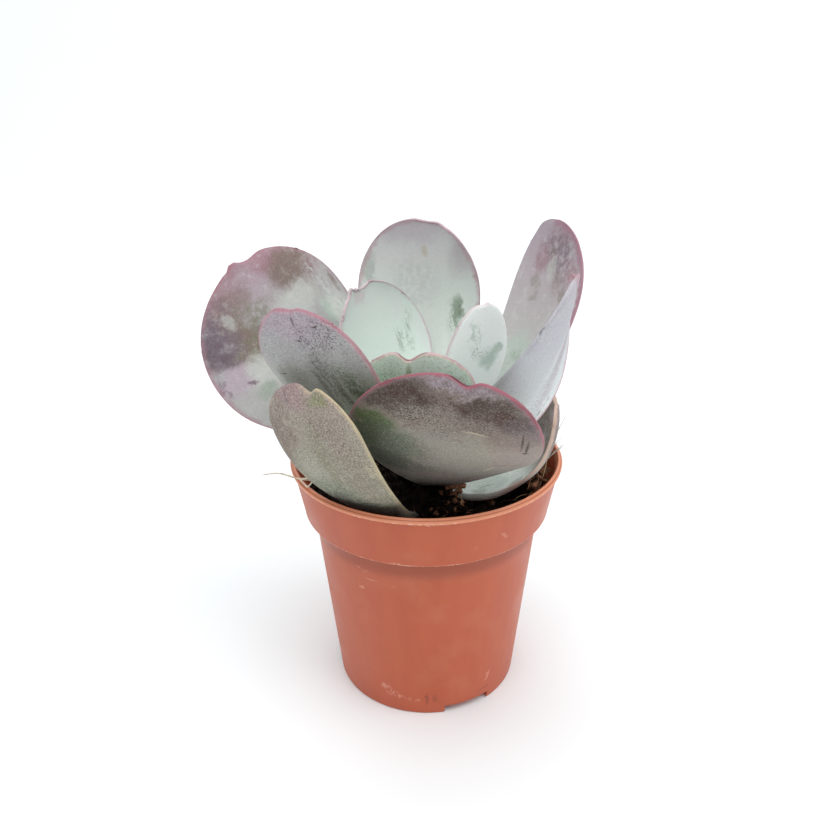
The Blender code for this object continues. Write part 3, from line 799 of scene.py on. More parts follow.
def lay_fibres(routes):
    """Curves with a round, tapering section, turned into one mesh."""
    start_piece()
    curve = bpy.data.curves.new("fibres", "CURVE")
    curve.dimensions = "3D"
    curve.bevel_depth = MM / 2
    curve.bevel_resolution = 1
    curve.resolution_u = 5
    for thickness, points in routes:
        spline = curve.splines.new("NURBS")
        spline.points.add(len(points) - 1)
        for index, (point, (x, y, lift)) in enumerate(zip(spline.points, points)):
            point.co = (x * MM, y * MM, (BED_LEVEL + lift) * MM, 1.0)
            point.radius = thickness * (0.45 if index in (0, len(points) - 1) else 1.0)
        spline.order_u = 3
        spline.use_endpoint_u = True
        spline.use_smooth = True
    fibres = bpy.data.objects.new("fibres", curve)
    bpy.context.scene.collection.objects.link(fibres)
    fibres.select_set(True)
    bpy.context.view_layer.objects.active = fibres
    bpy.ops.object.convert(target="MESH")
    return bpy.context.object


def fibre_material(name, code):
    """Dry plant fibre, half matte: it gives the eye one pale thread, darker in places."""
    material, tree, shader = new_material(name, {"Roughness": 0.7})
    darker = patches(tree, position_mm(tree), 1.5, 0.4, 0.7, 0.8)
    dark = tuple(value * 0.5 for value in linear(code)[:3]) + (1,)
    colour = add(tree, "Mix", darker, linear(code), dark, **RGB)
    feed(tree, colour, shader.inputs["Base Color"])
    return material


for name, (finish, routes) in ROUTES.items():
    if name == "coir_fibres":
        strewn_ones = [short_fibre() for _ in range(SHORT_FIBRES)]
        routes = routes + [each for each in strewn_ones if len(each[1]) == 3]
        routes += [wall_fibre() for _ in range(WALL_FIBRES)]
        material = finish
    else:
        material = fibre_material(name, finish)
    finish_piece(lay_fibres(routes), name, [material])

# %% [markdown]
# ## The stem
#
# Hardly seen, but the leaves need something to grow from: a short brown-green stem, scarred
# where older leaves dropped. A plain cylinder would hide as well from the front, but not from
# behind. So it is grown ring by ring like the pot, and swells a little every 3 mm.

# %% Stem
stem_low, stem_high = solid_box("stem")
STEM_X = round((stem_low[0] + stem_high[0]) / 2, 1)
STEM_Y = round((stem_low[1] + stem_high[1]) / 2, 1)
STEM_TOP_Z = stem_high[2]
STEM_FOOT_Z = 38.0
STEM_FOOT_RADIUS = round((stem_high[0] - stem_low[0]) / 2, 1)
STEM_TOP_RADIUS = 2.3
SWELL = 0.12
SWELL_SPACING = 3.0
STEM_RING_STEP = 0.75


def stem_radius(z):
    """The stem's radius at a height, thinner towards the top."""
    share = min(max((z - BED_LEVEL) / (STEM_TOP_Z - BED_LEVEL), 0.0), 1.0)
    return STEM_FOOT_RADIUS + (STEM_TOP_RADIUS - STEM_FOOT_RADIUS) * share


def stem_stations():
    """Rings up the stem, with its swellings, and a rounded top."""
    rings = []
    height = STEM_FOOT_Z
    while height < STEM_TOP_Z - STEM_TOP_RADIUS:
        swell = SWELL * math.cos(height * math.tau / SWELL_SPACING)
        rings.append((stem_radius(height) - SWELL + swell, height))
        height += STEM_RING_STEP
    return rings + arc((0.0, STEM_TOP_Z - STEM_TOP_RADIUS), STEM_TOP_RADIUS - 0.1, 10, 80, 5)


stem = extrude_rings(stem_stations(), 40)
stem.data.transform(Matrix.Translation((STEM_X * MM, STEM_Y * MM, 0.0)))
stem.data.shade_smooth()
# Soiled bark is rough and dull: it gives the eye a dark stalk that blends into the peat, with
# painted shade in the hollows of its lumps.
bark = earthy("soiled_green_stem", {"Roughness": 0.9, "Specular IOR Level": 0.1},
              (1.2, 5.0, 0.55, 0.35, 0.65), ("#0f0b09", "#2a2119"), (0.5, 0.4), (1.0, 1.0, 0.4))
finish_piece(stem, "stem_bark", [bark], ["stem"])
print("stem at", STEM_X, STEM_Y, "up to", STEM_TOP_Z, "mm, its foot", STEM_FOOT_RADIUS, "mm in radius")

# %% [markdown]
# ## The leaves
#
# Each leaf is a thick blade that widens from a narrow foot to a round end. All of them share
# one construction, and a row of values says how each one stands: which way it grows, how it
# climbs, how wide it is, how it rolls, cups and folds. A flat grid is the natural start,
# because one side of the grid is the foot and the other the tip, and every vertex knows how far
# along and across the blade it is. The grid is bent into the blade and Solidify gives it its
# flesh, with a thickness that dies away round the margin, so that the margin is rounded.

# %% Leaf values
# In mm. TURNING is the share of the grid's rows that lie before the widest place.
LEAF_THICKNESS = 2.4
EDGE_THICKNESS = 1.2
ROOT_GAP = 0.4
NOTCH_SPREAD = 1.6
ROOT_REACH = 1.2
RIM_THICKNESS = 0.5
WALK_STEPS = 120
TURNING = 0.55
ROWS = 66
COLUMNS = 52
WAVE_SIZE = 9.0
WAVE_HEIGHT = 0.2
EVENING_ROUNDS = 4


class Leaf:
    """How one blade stands and how it is shaped, in mm and degrees.

    bearing, climb: the way the midrib runs, at the root, and how it turns by the tip
    widest, waist: where the blade is widest, and how slowly its foot widens
    roll: turn about the midrib at the root and at the tip
    cup, fold, lean: how the halves curl, fold up and differ in width
    point, notch: how blunt the tip is, and how deep its dip
    thickness, rim, ridge: flesh in the middle and at the margin, and the midrib's own ridge
    """

    def __init__(self, bearing, climb, length, half_width, root_z, root_half_width=2.5,
                 widest=0.6, waist=1.5, roll=(0, 0), cup=0.1, fold=0.0, lean=0.0, point=1.0,
                 notch=1.0, thickness=LEAF_THICKNESS, rim=RIM_THICKNESS, ridge=0.0):
        self.bearing = bearing
        self.climb = climb
        self.length = length
        self.half_width = half_width
        self.root_half_width = root_half_width
        self.widest = widest
        self.waist = waist
        self.roll = roll
        self.cup = cup
        self.fold = fold
        self.lean = lean
        self.root_z = root_z
        self.point = point
        self.notch = notch
        self.thickness = thickness
        self.rim = rim
        self.ridge = ridge


LEAVES = {
    "left_big": Leaf((162, 20), (54, 49), 52.5, 18.5, root_z=48, widest=0.65, waist=2.25,
                     roll=(0, -57), cup=-0.4, point=0.9, notch=-0.6),
    "back_center": Leaf((90, 5), (30, 105), 52, 13.5, root_z=51, widest=0.7, waist=1.8,
                        roll=(-10, -25), cup=0.35, lean=0.1, notch=0.4),
    "back_right": Leaf((47, 0), (25, 80), 59, 12, root_z=49, root_half_width=3, widest=0.7,
                       waist=1.4, roll=(-20, -20), lean=-0.2, notch=0.2),
    "right_folded": Leaf((-48, 20), (35, 80), 50, 12.5, root_z=53, root_half_width=1.5,
                         widest=0.5, roll=(-35, 15), fold=0.15, lean=0.2, notch=0.6),
    "left_mid": Leaf((217, 0), (44, 65), 44, 10.5, root_z=53, widest=0.7, roll=(20, 30),
                     cup=-0.1, notch=0.4, ridge=0.9),
    "front_left": Leaf((237, -32), (24, 84), 45.5, 10.5, root_z=42, root_half_width=1.4,
                       widest=0.8, waist=1.3, roll=(16, 25), cup=-0.05, lean=-0.1, notch=1.2),
    "front_big": Leaf((-80, 0), (35, 65), 41, 16.5, root_z=50, root_half_width=3, widest=0.55,
                      roll=(-5, -25), lean=-0.1, notch=1.5),
    "right_low": Leaf((7, 17), (-10, 90), 32, 10.5, root_z=46, root_half_width=3, waist=1.2,
                      roll=(0, -25), cup=0.3, lean=-0.1),
    "inner_left": Leaf((149, -3), (48, 90), 34.5, 16, root_z=55, root_half_width=3, widest=0.55,
                       waist=1.2, roll=(0, 5), cup=0.5, thickness=1.8),
    "inner_right": Leaf((-30, 0), (68, 85), 31, 7.5, root_z=56, root_half_width=1.5, widest=0.5,
                        waist=1.4, roll=(-5, -35), point=1.1, notch=0.6, thickness=1.8),
    "inner_front": Leaf((-110, 3), (61, 78), 25, 10.5, root_z=56, root_half_width=2,
                        widest=0.65, roll=(-5, 10), cup=0.2, lean=0.1, notch=1.8, thickness=1.8),
    "inner_back": Leaf((70, 0), (62, 80), 14, 5.5, root_z=58, waist=1.4, cup=0.45, notch=0.8,
                       thickness=1.8),
    "bud_left": Leaf((165, 0), (74, 88), 11, 3, root_z=60, root_half_width=1.4, waist=1.2,
                     cup=0.5, notch=0.3, thickness=1.2),
    "bud_right": Leaf((-14, 0), (74, 88), 10, 2.5, root_z=60, root_half_width=1.4, waist=1.2,
                      cup=0.5, notch=0.3, thickness=1.2),
}
print(len(LEAVES), "leaves")

# %% [markdown]
# A blade could be sculpted, but a rule keeps all fourteen alike, and then one value changes one
# thing. The midrib is walked from the root in small steps, and turns and climbs as it goes. Across
# it the blade reaches out to both sides, rolled, curled and folded. The last rows of the grid are
# pressed into a half disc, which gives the round tip.


# %% Blade shape
def between(pair, share):
    """A value between the two of a pair."""
    return pair[0] + (pair[1] - pair[0]) * share


def blade_direction(leaf, t):
    """Unit vector along the midrib at t, from 0 at the root to 1 at the tip."""
    climb = math.radians(between(leaf.climb, t))
    bearing = math.radians(leaf.bearing[0] + leaf.bearing[1] * t)
    level = math.cos(climb)
    return Vector((level * math.cos(bearing), level * math.sin(bearing), math.sin(climb)))


def walk_midrib(leaf):
    """The midrib's points in mm, in equal steps from the root to the tip."""
    bearing = math.radians(leaf.bearing[0])
    slant = math.sin(math.radians(leaf.climb[0])) * leaf.thickness / 2
    out = stem_radius(leaf.root_z) + abs(slant) + ROOT_GAP
    place = Vector((STEM_X + out * math.cos(bearing), STEM_Y + out * math.sin(bearing),
                    leaf.root_z))
    points = [place.copy()]
    for i in range(WALK_STEPS):
        place += blade_direction(leaf, (i + 0.5) / WALK_STEPS) * leaf.length / WALK_STEPS
        points.append(place.copy())
    return points


def midrib_point(points, t):
    """A point of the midrib; before the root it carries straight on, into the stem."""
    if t < 0.0:
        return points[0] + (points[1] - points[0]) * t * WALK_STEPS
    spot = min(t, 1.0) * WALK_STEPS
    low = min(int(spot), WALK_STEPS - 1)
    return points[low].lerp(points[low + 1], spot - low)


def blade_point(leaf, points, t, half_width, u):
    """A point of the blade's middle surface in mm; u runs from -1 to 1 across it."""
    dip = leaf.notch / leaf.length * math.exp(-(u * half_width / NOTCH_SPREAD) ** 2)
    t_here = t - dip * max(0.0, (t - leaf.widest) / (1.0 - leaf.widest))
    along = blade_direction(leaf, max(t_here, 0.0))
    bearing = math.radians(leaf.bearing[0] + leaf.bearing[1] * t_here)
    side = Vector((-math.sin(bearing), math.cos(bearing), 0.0))
    upper = along.cross(side)
    roll = math.radians(between(leaf.roll, t_here))
    side_turned = side * math.cos(roll) + upper * math.sin(roll)
    upper_turned = upper * math.cos(roll) - side * math.sin(roll)
    reach = half_width * (1.0 + leaf.lean * u)
    curl = abs(leaf.cup * u)
    sideways = reach * math.copysign(math.sin(curl), u) / abs(leaf.cup)
    raised = reach * (1.0 - math.cos(curl)) / leaf.cup + leaf.fold * reach * abs(u)
    return midrib_point(points, t_here) + side_turned * sideways + upper_turned * raised


def grid_to_blade(leaf, x, share):
    """Where a grid vertex goes on the flat blade: t, half width, u, and how far out it lies.

    The foot is laid in even rows. From the widest place on, the grid is pressed into a half
    disc, so that its last row runs round the tip and the tip has no pinched point.
    """
    across = math.sin(math.pi / 2 * x)
    root = -ROOT_REACH / leaf.length
    if share < TURNING:
        t = root + (leaf.widest - root) * share / TURNING
        swell = math.sin(math.pi / 2 * max(t, 0.0) / leaf.widest) ** leaf.waist
        width = leaf.root_half_width + (leaf.half_width - leaf.root_half_width) * swell
        return t, width, across, abs(across)
    up = math.sin(math.pi / 2 * (share - TURNING) / (1.0 - TURNING))
    disc_x = across * math.sqrt(1.0 - up * up / 2)
    disc_y = up * math.sqrt(1.0 - across * across / 2)
    width = math.sqrt(max(1.0 - disc_y * disc_y, 0.0))
    u = max(-1.0, min(1.0, disc_x / width)) if width > 1e-6 else 0.0
    t = leaf.widest + (1.0 - leaf.widest) * disc_y
    return t, leaf.half_width * width ** leaf.point, u, math.hypot(disc_x, disc_y)


tip = walk_midrib(LEAVES["left_big"])[-1]
print("tip of left_big at", [round(value, 1) for value in tip], "mm")

# %% [markdown]
# The sheet that the grid makes is the blade's upper skin. The skin material has to know where on
# the blade it is, and a picture map would need unwrapping, so each vertex keeps three numbers in
# mm: how far across and along the blade it is, and how far from the margin.


# %% Sheet
def keep_on_points(mesh, name, values):
    """Stores one number for each vertex under a name that the shader can read."""
    attribute = mesh.attributes.new(name, "FLOAT", "POINT")
    attribute.data.foreach_set("value", values)


def smooth(value, low, high):
    """A smooth step of a value between two limits."""
    share = min(max((value - low) / (high - low), 0.0), 1.0)
    return share * share * (3.0 - 2.0 * share)


def edge_distances(mesh, margin):
    """How far each vertex is from the margin, in mm."""
    margin_tree = KDTree(len(margin))
    for index in margin:
        margin_tree.insert(mesh.vertices[index].co, index)
    margin_tree.balance()
    return [margin_tree.find(vertex.co)[2] / MM for vertex in mesh.vertices]


def bend_sheet(blade, leaf, nicks):
    """Bends a flat grid into the blade, and tells for each vertex where on it that is."""
    mesh = blade.data
    points = walk_midrib(leaf)
    across, along, spots, margin = [], [], [], []
    for vertex in mesh.vertices:
        x, share = vertex.co.x, (vertex.co.y + 1.0) / 2.0
        t, half_width, u, out = grid_to_blade(leaf, x, share)
        point = blade_point(leaf, points, t, half_width, u)
        wander = noise.noise(point / WAVE_SIZE + Vector((leaf.length, 0.0, 0.0)))
        point.z += WAVE_HEIGHT * wander * smooth(t, 0.1, 0.4)
        across.append(half_width * (1.0 + leaf.lean * u) * u)
        along.append(t * leaf.length)
        inward = (midrib_point(points, leaf.widest) - point).normalized()
        for nick_x, nick_y, reach, depth in nicks:
            away = math.hypot(across[-1] - nick_x, along[-1] - nick_y) / reach
            point += inward * depth * math.exp(-away * away)
        vertex.co = point * MM
        spots.append((u, min(out, 1.0), t))
        if abs(x) > 0.999 or share > 0.999:
            margin.append(vertex.index)
    edge = edge_distances(mesh, margin)
    keep_on_points(mesh, "across", across)
    keep_on_points(mesh, "along", along)
    keep_on_points(mesh, "edge", edge)
    mesh.update()
    return [(*spot, far) for spot, far in zip(spots, edge)]


print("each blade starts as a grid of", COLUMNS, "by", ROWS, "faces")

# %% [markdown]
# The flesh hangs below the sheet, as in the real leaf: full along the middle, thin at the margin,
# and with a round section at the foot. Sculpting could give it, but Solidify does it by a rule, as
# it takes the thickness of each vertex from a vertex group.


# %% Flesh
FOOT_FULLNESS = 0.9
THINNEST = 0.02


def flesh_share(leaf, u, out, t, far):
    """Thickness below the skin as a share of the leaf's own.

    The full, round foot passes into the flat blade over the first 0.4 of the length. The midrib's
    ridge, with a hollow on both sides, dies away from 0.3 to 0.6 of it.
    """
    blade = smooth(t, 0.05, 0.4)
    rim_share = leaf.rim / leaf.thickness
    body = rim_share + (1.0 - rim_share) * (1.0 - out * out) ** 0.8
    body = (1.0 - blade) * FOOT_FULLNESS + blade * body
    round_reach = 0.4 + 1.2 * (1.0 - blade)
    rounding = math.sqrt(max(0.0, 1.0 - (1.0 - min(far / round_reach, 1.0)) ** 2))
    ridge = leaf.ridge / leaf.thickness * (1.0 - smooth(t, 0.3, 0.6))
    ridge *= math.exp(-(u * 5.0) ** 2) - 0.8 * math.exp(-((abs(u) - 0.33) * 6.0) ** 2)
    return min(max(body * (0.15 + 0.85 * rounding) + ridge, THINNEST), 1.0)


def half_flesh(leaf, out):
    """How far the upper skin lies above the blade's middle surface, in mm."""
    return (EDGE_THICKNESS + (leaf.thickness - EDGE_THICKNESS) * (1.0 - out * out)) / 2


def even_normals(mesh):
    """The normals of the vertices, evened out with those of their neighbours."""
    normals = [vertex.normal.copy() for vertex in mesh.vertices]
    for _ in range(EVENING_ROUNDS):
        totals = [normal.copy() for normal in normals]
        for joint in mesh.edges:
            low, high = joint.vertices
            totals[low] += normals[high]
            totals[high] += normals[low]
        normals = [total.normalized() for total in totals]
    return normals


def thicken(blade, leaf):
    """Gives the sheet its flesh, and marks the upper skin 1 and the under one -1.

    Solidify moves the sheet's own vertices down, and its copy of them stays as the upper skin.
    """
    sheet = len(blade.data.vertices)
    solidify = blade.modifiers.new("flesh", "SOLIDIFY")
    solidify.thickness = leaf.thickness * MM
    solidify.offset = 1.0
    solidify.vertex_group = "flesh"
    solidify.use_even_offset = False
    blade.modifiers.new("even shading", "WEIGHTED_NORMAL")
    blade.data.shade_smooth()
    apply_all(blade)
    count = len(blade.data.vertices)
    keep_on_points(blade.data, "side", [-1.0] * sheet + [1.0] * (count - sheet))


def model_leaf(leaf, nicks=()):
    """A flat grid bent into the blade, lifted to its upper skin and given its flesh."""
    start_piece()
    bpy.ops.mesh.primitive_grid_add(x_subdivisions=COLUMNS, y_subdivisions=ROWS, size=2.0)
    blade = bpy.context.object
    mesh = blade.data
    spots = bend_sheet(blade, leaf, nicks)
    lifted = [vertex.co - normal * half_flesh(leaf, spot[1]) * MM
              for vertex, normal, spot in zip(mesh.vertices, even_normals(mesh), spots)]
    group = blade.vertex_groups.new(name="flesh")
    for vertex, place, (u, out, t, far) in zip(mesh.vertices, lifted, spots):
        vertex.co = place
        group.add([vertex.index], flesh_share(leaf, u, out, t, far), "REPLACE")
    thicken(blade, leaf)
    return blade


print("flesh of an outer leaf:", LEAF_THICKNESS, "mm in the middle,", RIM_THICKNESS, "at the rim")

# %% [markdown]
# Real margins are never whole: each knock leaves a nick, or a dry spur about 1 mm long. They could
# be cut out, but a small push on the nearest vertices of the sheet, towards the blade's middle or
# away from it, keeps the mesh clean and the margin rounded.

# %% Nicks and spurs of the margins
NICKS = {
    # across, along, reach, and depth inwards, in mm; a spur has a negative depth
    "left_big": [(-0.5, 52.5, 0.7, -1.1), (-3.5, 51.8, 2.2, 0.7), (14.8, 46.5, 0.5, 0.5)],
    "back_center": [(-4.5, 51.5, 0.8, 0.3), (-12.0, 44.0, 0.9, 0.3)],
    "back_right": [(4.0, 57.0, 1.5, -0.4), (-9.0, 50.0, 0.6, -0.3)],
    "right_folded": [(0.0, 50.0, 0.8, -1.2), (3.5, 47.0, 0.8, -0.8), (4.5, 45.0, 0.6, 0.4)],
    "left_mid": [(1.0, 43.5, 0.8, 0.4), (-1.5, 43.5, 1.5, -0.3)],
    "inner_left": [(5.0, 33.5, 0.8, -0.8), (2.5, 34.5, 1.2, 0.5)],
    "inner_right": [(0.5, 31.0, 0.6, -0.4), (4.5, 29.5, 1.0, 0.4)],
    "front_left": [(0.5, 45.0, 0.9, 0.5)],
}
print(sum(len(each) for each in NICKS.values()), "nicks and spurs")

# %% [markdown]
# ## The skin of the leaves
#
# Farina is a white powder of wax on grey green flesh. Rain and fingers rub it off, and then the
# flesh shows, mauve where the sun reached it. A picture could be wrapped round each blade, but it
# would fit that one alone. So the skin is layered as on the plant: colour that changes from foot
# to tip, stains placed one by one, powder and grain over them, then a tinted margin with a thin line
# on its edge, and on the foot peat dust with painted shade. All of it is laid out in mm on the
# blade itself.


# %% Leaf skin material
# How much of a stain shows on the leaf's other face, as a bruise goes through the flesh
OTHER_FACE = 0.35
# Sizes in mm. Grains of farina are about 0.02 mm, too fine to show, so they are drawn coarser.
POWDER_GRAIN = 0.3
RUBBED_DOTS = 0.32
DARK_SPECKS = 0.38
MOTTLES = 1.2
POWDER_CLOUDS = 2.2
RAGGED_SIZE = 2.6
MARGIN_STARTS = 5.0
MARGIN_FULL = 13.0
DUST_AND_SHADE_RAGGED = 4.0
DUST_AND_SHADE_FADE = 5.0


def margin_share(tree, look, blade, bloom, width, strength):
    """How strongly a margin's colour shows: it wanders, and fades towards the blade's foot."""
    wander = add(tree, "Math", bloom, 0.5, operation="SUBTRACT")
    wander = add(tree, "Math", wander, width * 2.5, **TIMES)
    from_edge = add(tree, "Math", blade["edge"], wander, operation="ADD")
    share = add(tree, "MapRange", from_edge, width, width * 0.3, 0.0, strength, **SMOOTH)
    off_foot = add(tree, "MapRange", blade["along"], MARGIN_STARTS, MARGIN_FULL, **SMOOTH)
    share = add(tree, "Math", share, off_foot, **TIMES)
    if look["tinted_side"]:
        to_side = add(tree, "Math", blade["across"], look["tinted_side"], **TIMES)
        share = add(tree, "Math", share,
                    add(tree, "MapRange", to_side, -2.0, 1.5, **SMOOTH), **TIMES)
    return share


def stained(tree, look, leaf, blade, where):
    """Colour from foot to tip with its stains, which belong to one of the two faces."""
    ramp = add(tree, "ValToRGB", add(tree, "Math", blade["along"], 1.0 / leaf.length, **TIMES))
    stops = ramp.color_ramp.elements
    for spare in list(stops)[1:]:
        stops.remove(spare)
    stops[0].position, stops[0].color = look["ramp"][0][0], linear(look["ramp"][0][1])
    for place, code in look["ramp"][1:]:
        stops.new(place).color = linear(code)

    on_blade = add(tree, "CombineXYZ", blade["across"], blade["along"])
    shift = uneven(tree, where, look["ragged"], RAGGED_SIZE)
    warped = add(tree, "VectorMath", on_blade, shift, operation="ADD")
    lengthwise = add(tree, "Mapping", warped, None, None, (1.6, 0.12, 1.0))
    patterns = {"dots": patches(tree, where, RUBBED_DOTS, 0.46, 0.6, 1.0, 3.0, 0.6),
                "streaks": patches(tree, lengthwise, 1.0, 0.45, 0.6, rough=0.5),
                "mottle": patches(tree, where, MOTTLES, 0.4, 0.56, 1.0, 7.0, 0.75)}
    marked = coloured_marks(tree, ramp, look["marks"], warped, on_blade, patterns)
    side = add(tree, "Math", blade["side"], look["face"], **TIMES)
    on_face = add(tree, "MapRange", side, -0.5, 0.5, OTHER_FACE, 1.0, **SMOOTH)
    return add(tree, "Mix", on_face, ramp, marked, **RGB)


def skin(name, leaf, look):
    """Farina on flesh: matte, so that it gives the eye a soft bloom and hardly any gloss."""
    material, tree, shader = new_material(name, {"Sheen Roughness": 0.5})
    blade = {key: add(tree, "Attribute", attribute_name=key).outputs["Fac"]
             for key in ("across", "along", "edge", "side")}
    where = position_mm(tree)
    colour = stained(tree, look, leaf, blade, where)
    bloom = add(tree, "TexNoise", where, 1.0 / POWDER_CLOUDS, 8.0, 0.7)
    fine = add(tree, "TexNoise", where, 1.0 / POWDER_GRAIN, 3.0, 0.6)
    powder = linear(look["powder_colour"])
    for layer, low, high, strength, code in (
            (bloom, 0.48, 0.72, look["powder"], powder),
            (fine, 0.5, 0.68, look["grain"], powder),
            (fine, 0.5, 0.33, look["grain"], linear("#4b413d"))):
        share = add(tree, "MapRange", layer, low, high, 0.0, strength, **SMOOTH)
        colour = add(tree, "Mix", share, colour, code, **RGB)
    specks = patches(tree, where, DARK_SPECKS, 0.66, 0.72, look["specks"], 2.0, 0.4)
    colour = add(tree, "Mix", specks, colour, linear("#4b3f3d"), **RGB)
    for tint, width, strength in (look["margin"], look["line"]):
        share = margin_share(tree, look, blade, bloom, width, strength)
        colour = add(tree, "Mix", share, colour, linear(tint), **RGB)

    # The foot is near black, peat dust and painted shade, ragged and fading towards the blade.
    ragged_height = add(tree, "Math", bloom, DUST_AND_SHADE_RAGGED, **TIMES)
    height = add(tree, "Math", blade["along"], ragged_height, operation="ADD")
    foot = look["soiled"]
    soiled = add(tree, "MapRange", height, foot + DUST_AND_SHADE_FADE, foot, **SMOOTH)
    feed(tree, add(tree, "Mix", soiled, colour, linear("#15100c"), **RGB),
         shader.inputs["Base Color"])
    # Off the dusty, shaded foot the skin keeps its sheen and its gloss.
    clean = add(tree, "Math", 1.0, soiled, operation="SUBTRACT")
    feed(tree, add(tree, "Math", clean, 0.15, **TIMES), shader.inputs["Sheen Weight"])
    feed(tree, add(tree, "Math", clean, 0.3, **TIMES), shader.inputs["Specular IOR Level"])
    relief = add(tree, "Math", add(tree, "Math", bloom, 0.6, **TIMES), fine, operation="ADD")
    feed(tree, add(tree, "Bump", 0.3, 0.2 * MM, None, relief), shader.inputs["Normal"])
    rough = add(tree, "MapRange", bloom, 0.35, 0.65, 0.62, 0.8, **SMOOTH)
    feed(tree, rough, shader.inputs["Roughness"])
    return material


# The dust layer is peat dust with painted shade on the foot.
print("skin layers: base, stains, powder, grain, specks, tinted margin, edge line and dust")

# %% [markdown]
# A short palette holds the tones that come back on many leaves, from pale powder over mauve to
# the dark brown of dry scars. Each stain could have its own colour, but named tones, as a painter
# mixes them, keep the leaves related. A look is one leaf's colours, its stains and the strength
# of each layer.

# %% Palette of the skin
FARINA = "#d9e0dc"
PALE = "#bfc2bc"
ASH = "#a9a6a6"
STONE = "#8f8a82"
LILAC = "#b0a0aa"
ROSE = "#c59aa6"
MAUVE = "#9d7883"
PLUM = "#70616a"
UMBER = "#7d6a62"
BARK = "#4a3a33"
SOOT = "#42241a"
OLIVE = "#85826a"
MOSS = "#566a38"
FERN = "#60705a"
SAGE = "#8fa08e"
MINT = "#b2c8b9"
# Painted shade: the dark green grey of the shade on the lower leaves and in their grooves.
PAINTED_SHADE = "#3d4234"
BONE = "#c3b398"
CRIMSON = "#a0404f"


def look(ramp, marks=(), margin=(MAUVE, 1.5, 0.5), line=(CRIMSON, 0.3, 0.6), specks=0.2,
         grain=0.2, powder=0.3, powder_colour="#dde0dd", ragged=4.5, tinted_side=0,
         soiled=6.0, face=1):
    """The look of one leaf.

    ramp, marks: colours along it, as shares of its length, and its stains
    margin, line: colour, width in mm and strength of the soft tint and of the thin edge line
    specks, grain, powder: how strong the dark dots, the fine grain and the cloudy powder are
    tinted_side: 1 or -1 keeps the tinted margin on one side only
    soiled: how far up the foot is near black, with peat dust and painted shade, in mm
    face: 1 where the stains are on the upper face, -1 on the under one
    """
    return {"ramp": ramp, "marks": marks, "margin": margin, "line": line, "specks": specks,
            "grain": grain, "powder": powder, "powder_colour": powder_colour, "ragged": ragged,
            "tinted_side": tinted_side, "soiled": soiled, "face": face}


LOOKS = {}


def dress(name, *values, **settings):
    """Gives a leaf its look and prints how many stains it has."""
    LOOKS[name] = look(*values, **settings)
    print(name, "has", len(LOOKS[name]["marks"]), "stains")


print("palette from", FARINA, "to", SOOT)

# %% [markdown]
# The widest leaf stands behind on the left and shows its upper face. Powder still covers its
# foot, and the top is rubbed to mauve and umber. One large stain could cover the top, but many
# that overlap, some of them mottled, give it the worn and uneven edge of the real one.

# %% Look of left_big
dress(
    "left_big",
    [(0.4, PALE), (0.7, ASH), (1.0, "#a4979c")],
    [
        spot(MAUVE, -8, 50, (8, 3), 0.9),
        spot(MAUVE, -13.5, 46, (3, 4), 0.8, "mottle"),
        spot(MAUVE, 5, 50, (7, 4), 0.6),
        spot(UMBER, -8.5, 46.5, (5.5, 3.2), 0.9),
        spot("#75675e", -9, 45.5, (4, 3), 0.7, "mottle"),
        spot(UMBER, -11, 45, (5, 3.5), 0.6, "mottle"),
        spot(UMBER, -8, 42.5, (4, 3), 0.7, "streaks", turn=40),
        spot(LILAC, 0, 48, (3.5, 3), 0.6),
        spot(UMBER, 5, 48.5, (4.5, 2.5), 0.6),
        spot(PLUM, 9, 48, (4, 4), 0.8, "mottle"),
        spot("#827e72", 4, 44.5, (4, 3.5), 0.9, "mottle"),
        spot("#7a776b", 7, 41, (3.5, 4.2), 0.9),
        spot("#6b6a55", 7.5, 40, (2, 3), 0.6, "mottle"),
        spot(UMBER, 9.5, 43, (4, 5.5), 0.8),
        spot(PLUM, 12.5, 44.5, (4.6, 5.5), 1.0),
        spot("#5f5056", 14, 43.5, (3, 3.5), 0.6, "mottle"),
        spot(PALE, 7.5, 46.5, (0.8, 1.6), 0.5),
        spot("#77775f", 8.5, 40, (3, 2), 0.6, "mottle"),
        spot(LILAC, 14, 37, (4, 2.6), 0.9),
        spot(PALE, 9.5, 35.5, (3, 3), 0.8),
        spot(PLUM, 12.8, 35.3, (1.1, 0.35), 0.8, turn=30),
        spot(SAGE, 11.5, 32, (2, 1.5), 0.6),
        spot(PLUM, 17, 37.5, (0.8, 2.5), 0.7, "mottle"),
        spot(PALE, -5, 40.5, (6, 3.2), 0.8),
        spot(PALE, -13, 40.5, (1.5, 4), 0.9, "streaks"),
        spot(UMBER, -16, 38.5, (0.8, 2.2), 0.7),
        spot(SAGE, -13, 34, (1.2, 3), 0.8, "streaks"),
        spot(MINT, -10, 35, (2, 2.5), 0.6),
        spot("#d6d8d2", -13, 31, (3.5, 6), 0.8),
        spot(SAGE, -14.5, 33, (0.6, 3), 0.6, "streaks"),
    ],
    margin=(MAUVE, 1.0, 0.5), line=(CRIMSON, 0.25, 0.4), specks=0.1, grain=0.1, powder=0.25)

# %% [markdown]
# The leaf behind the middle is the cleanest: few stains, faint and broad. Its neighbour on the
# right is rubbed near the tip, in mottled patches, and its tinted margin shows on one side only.

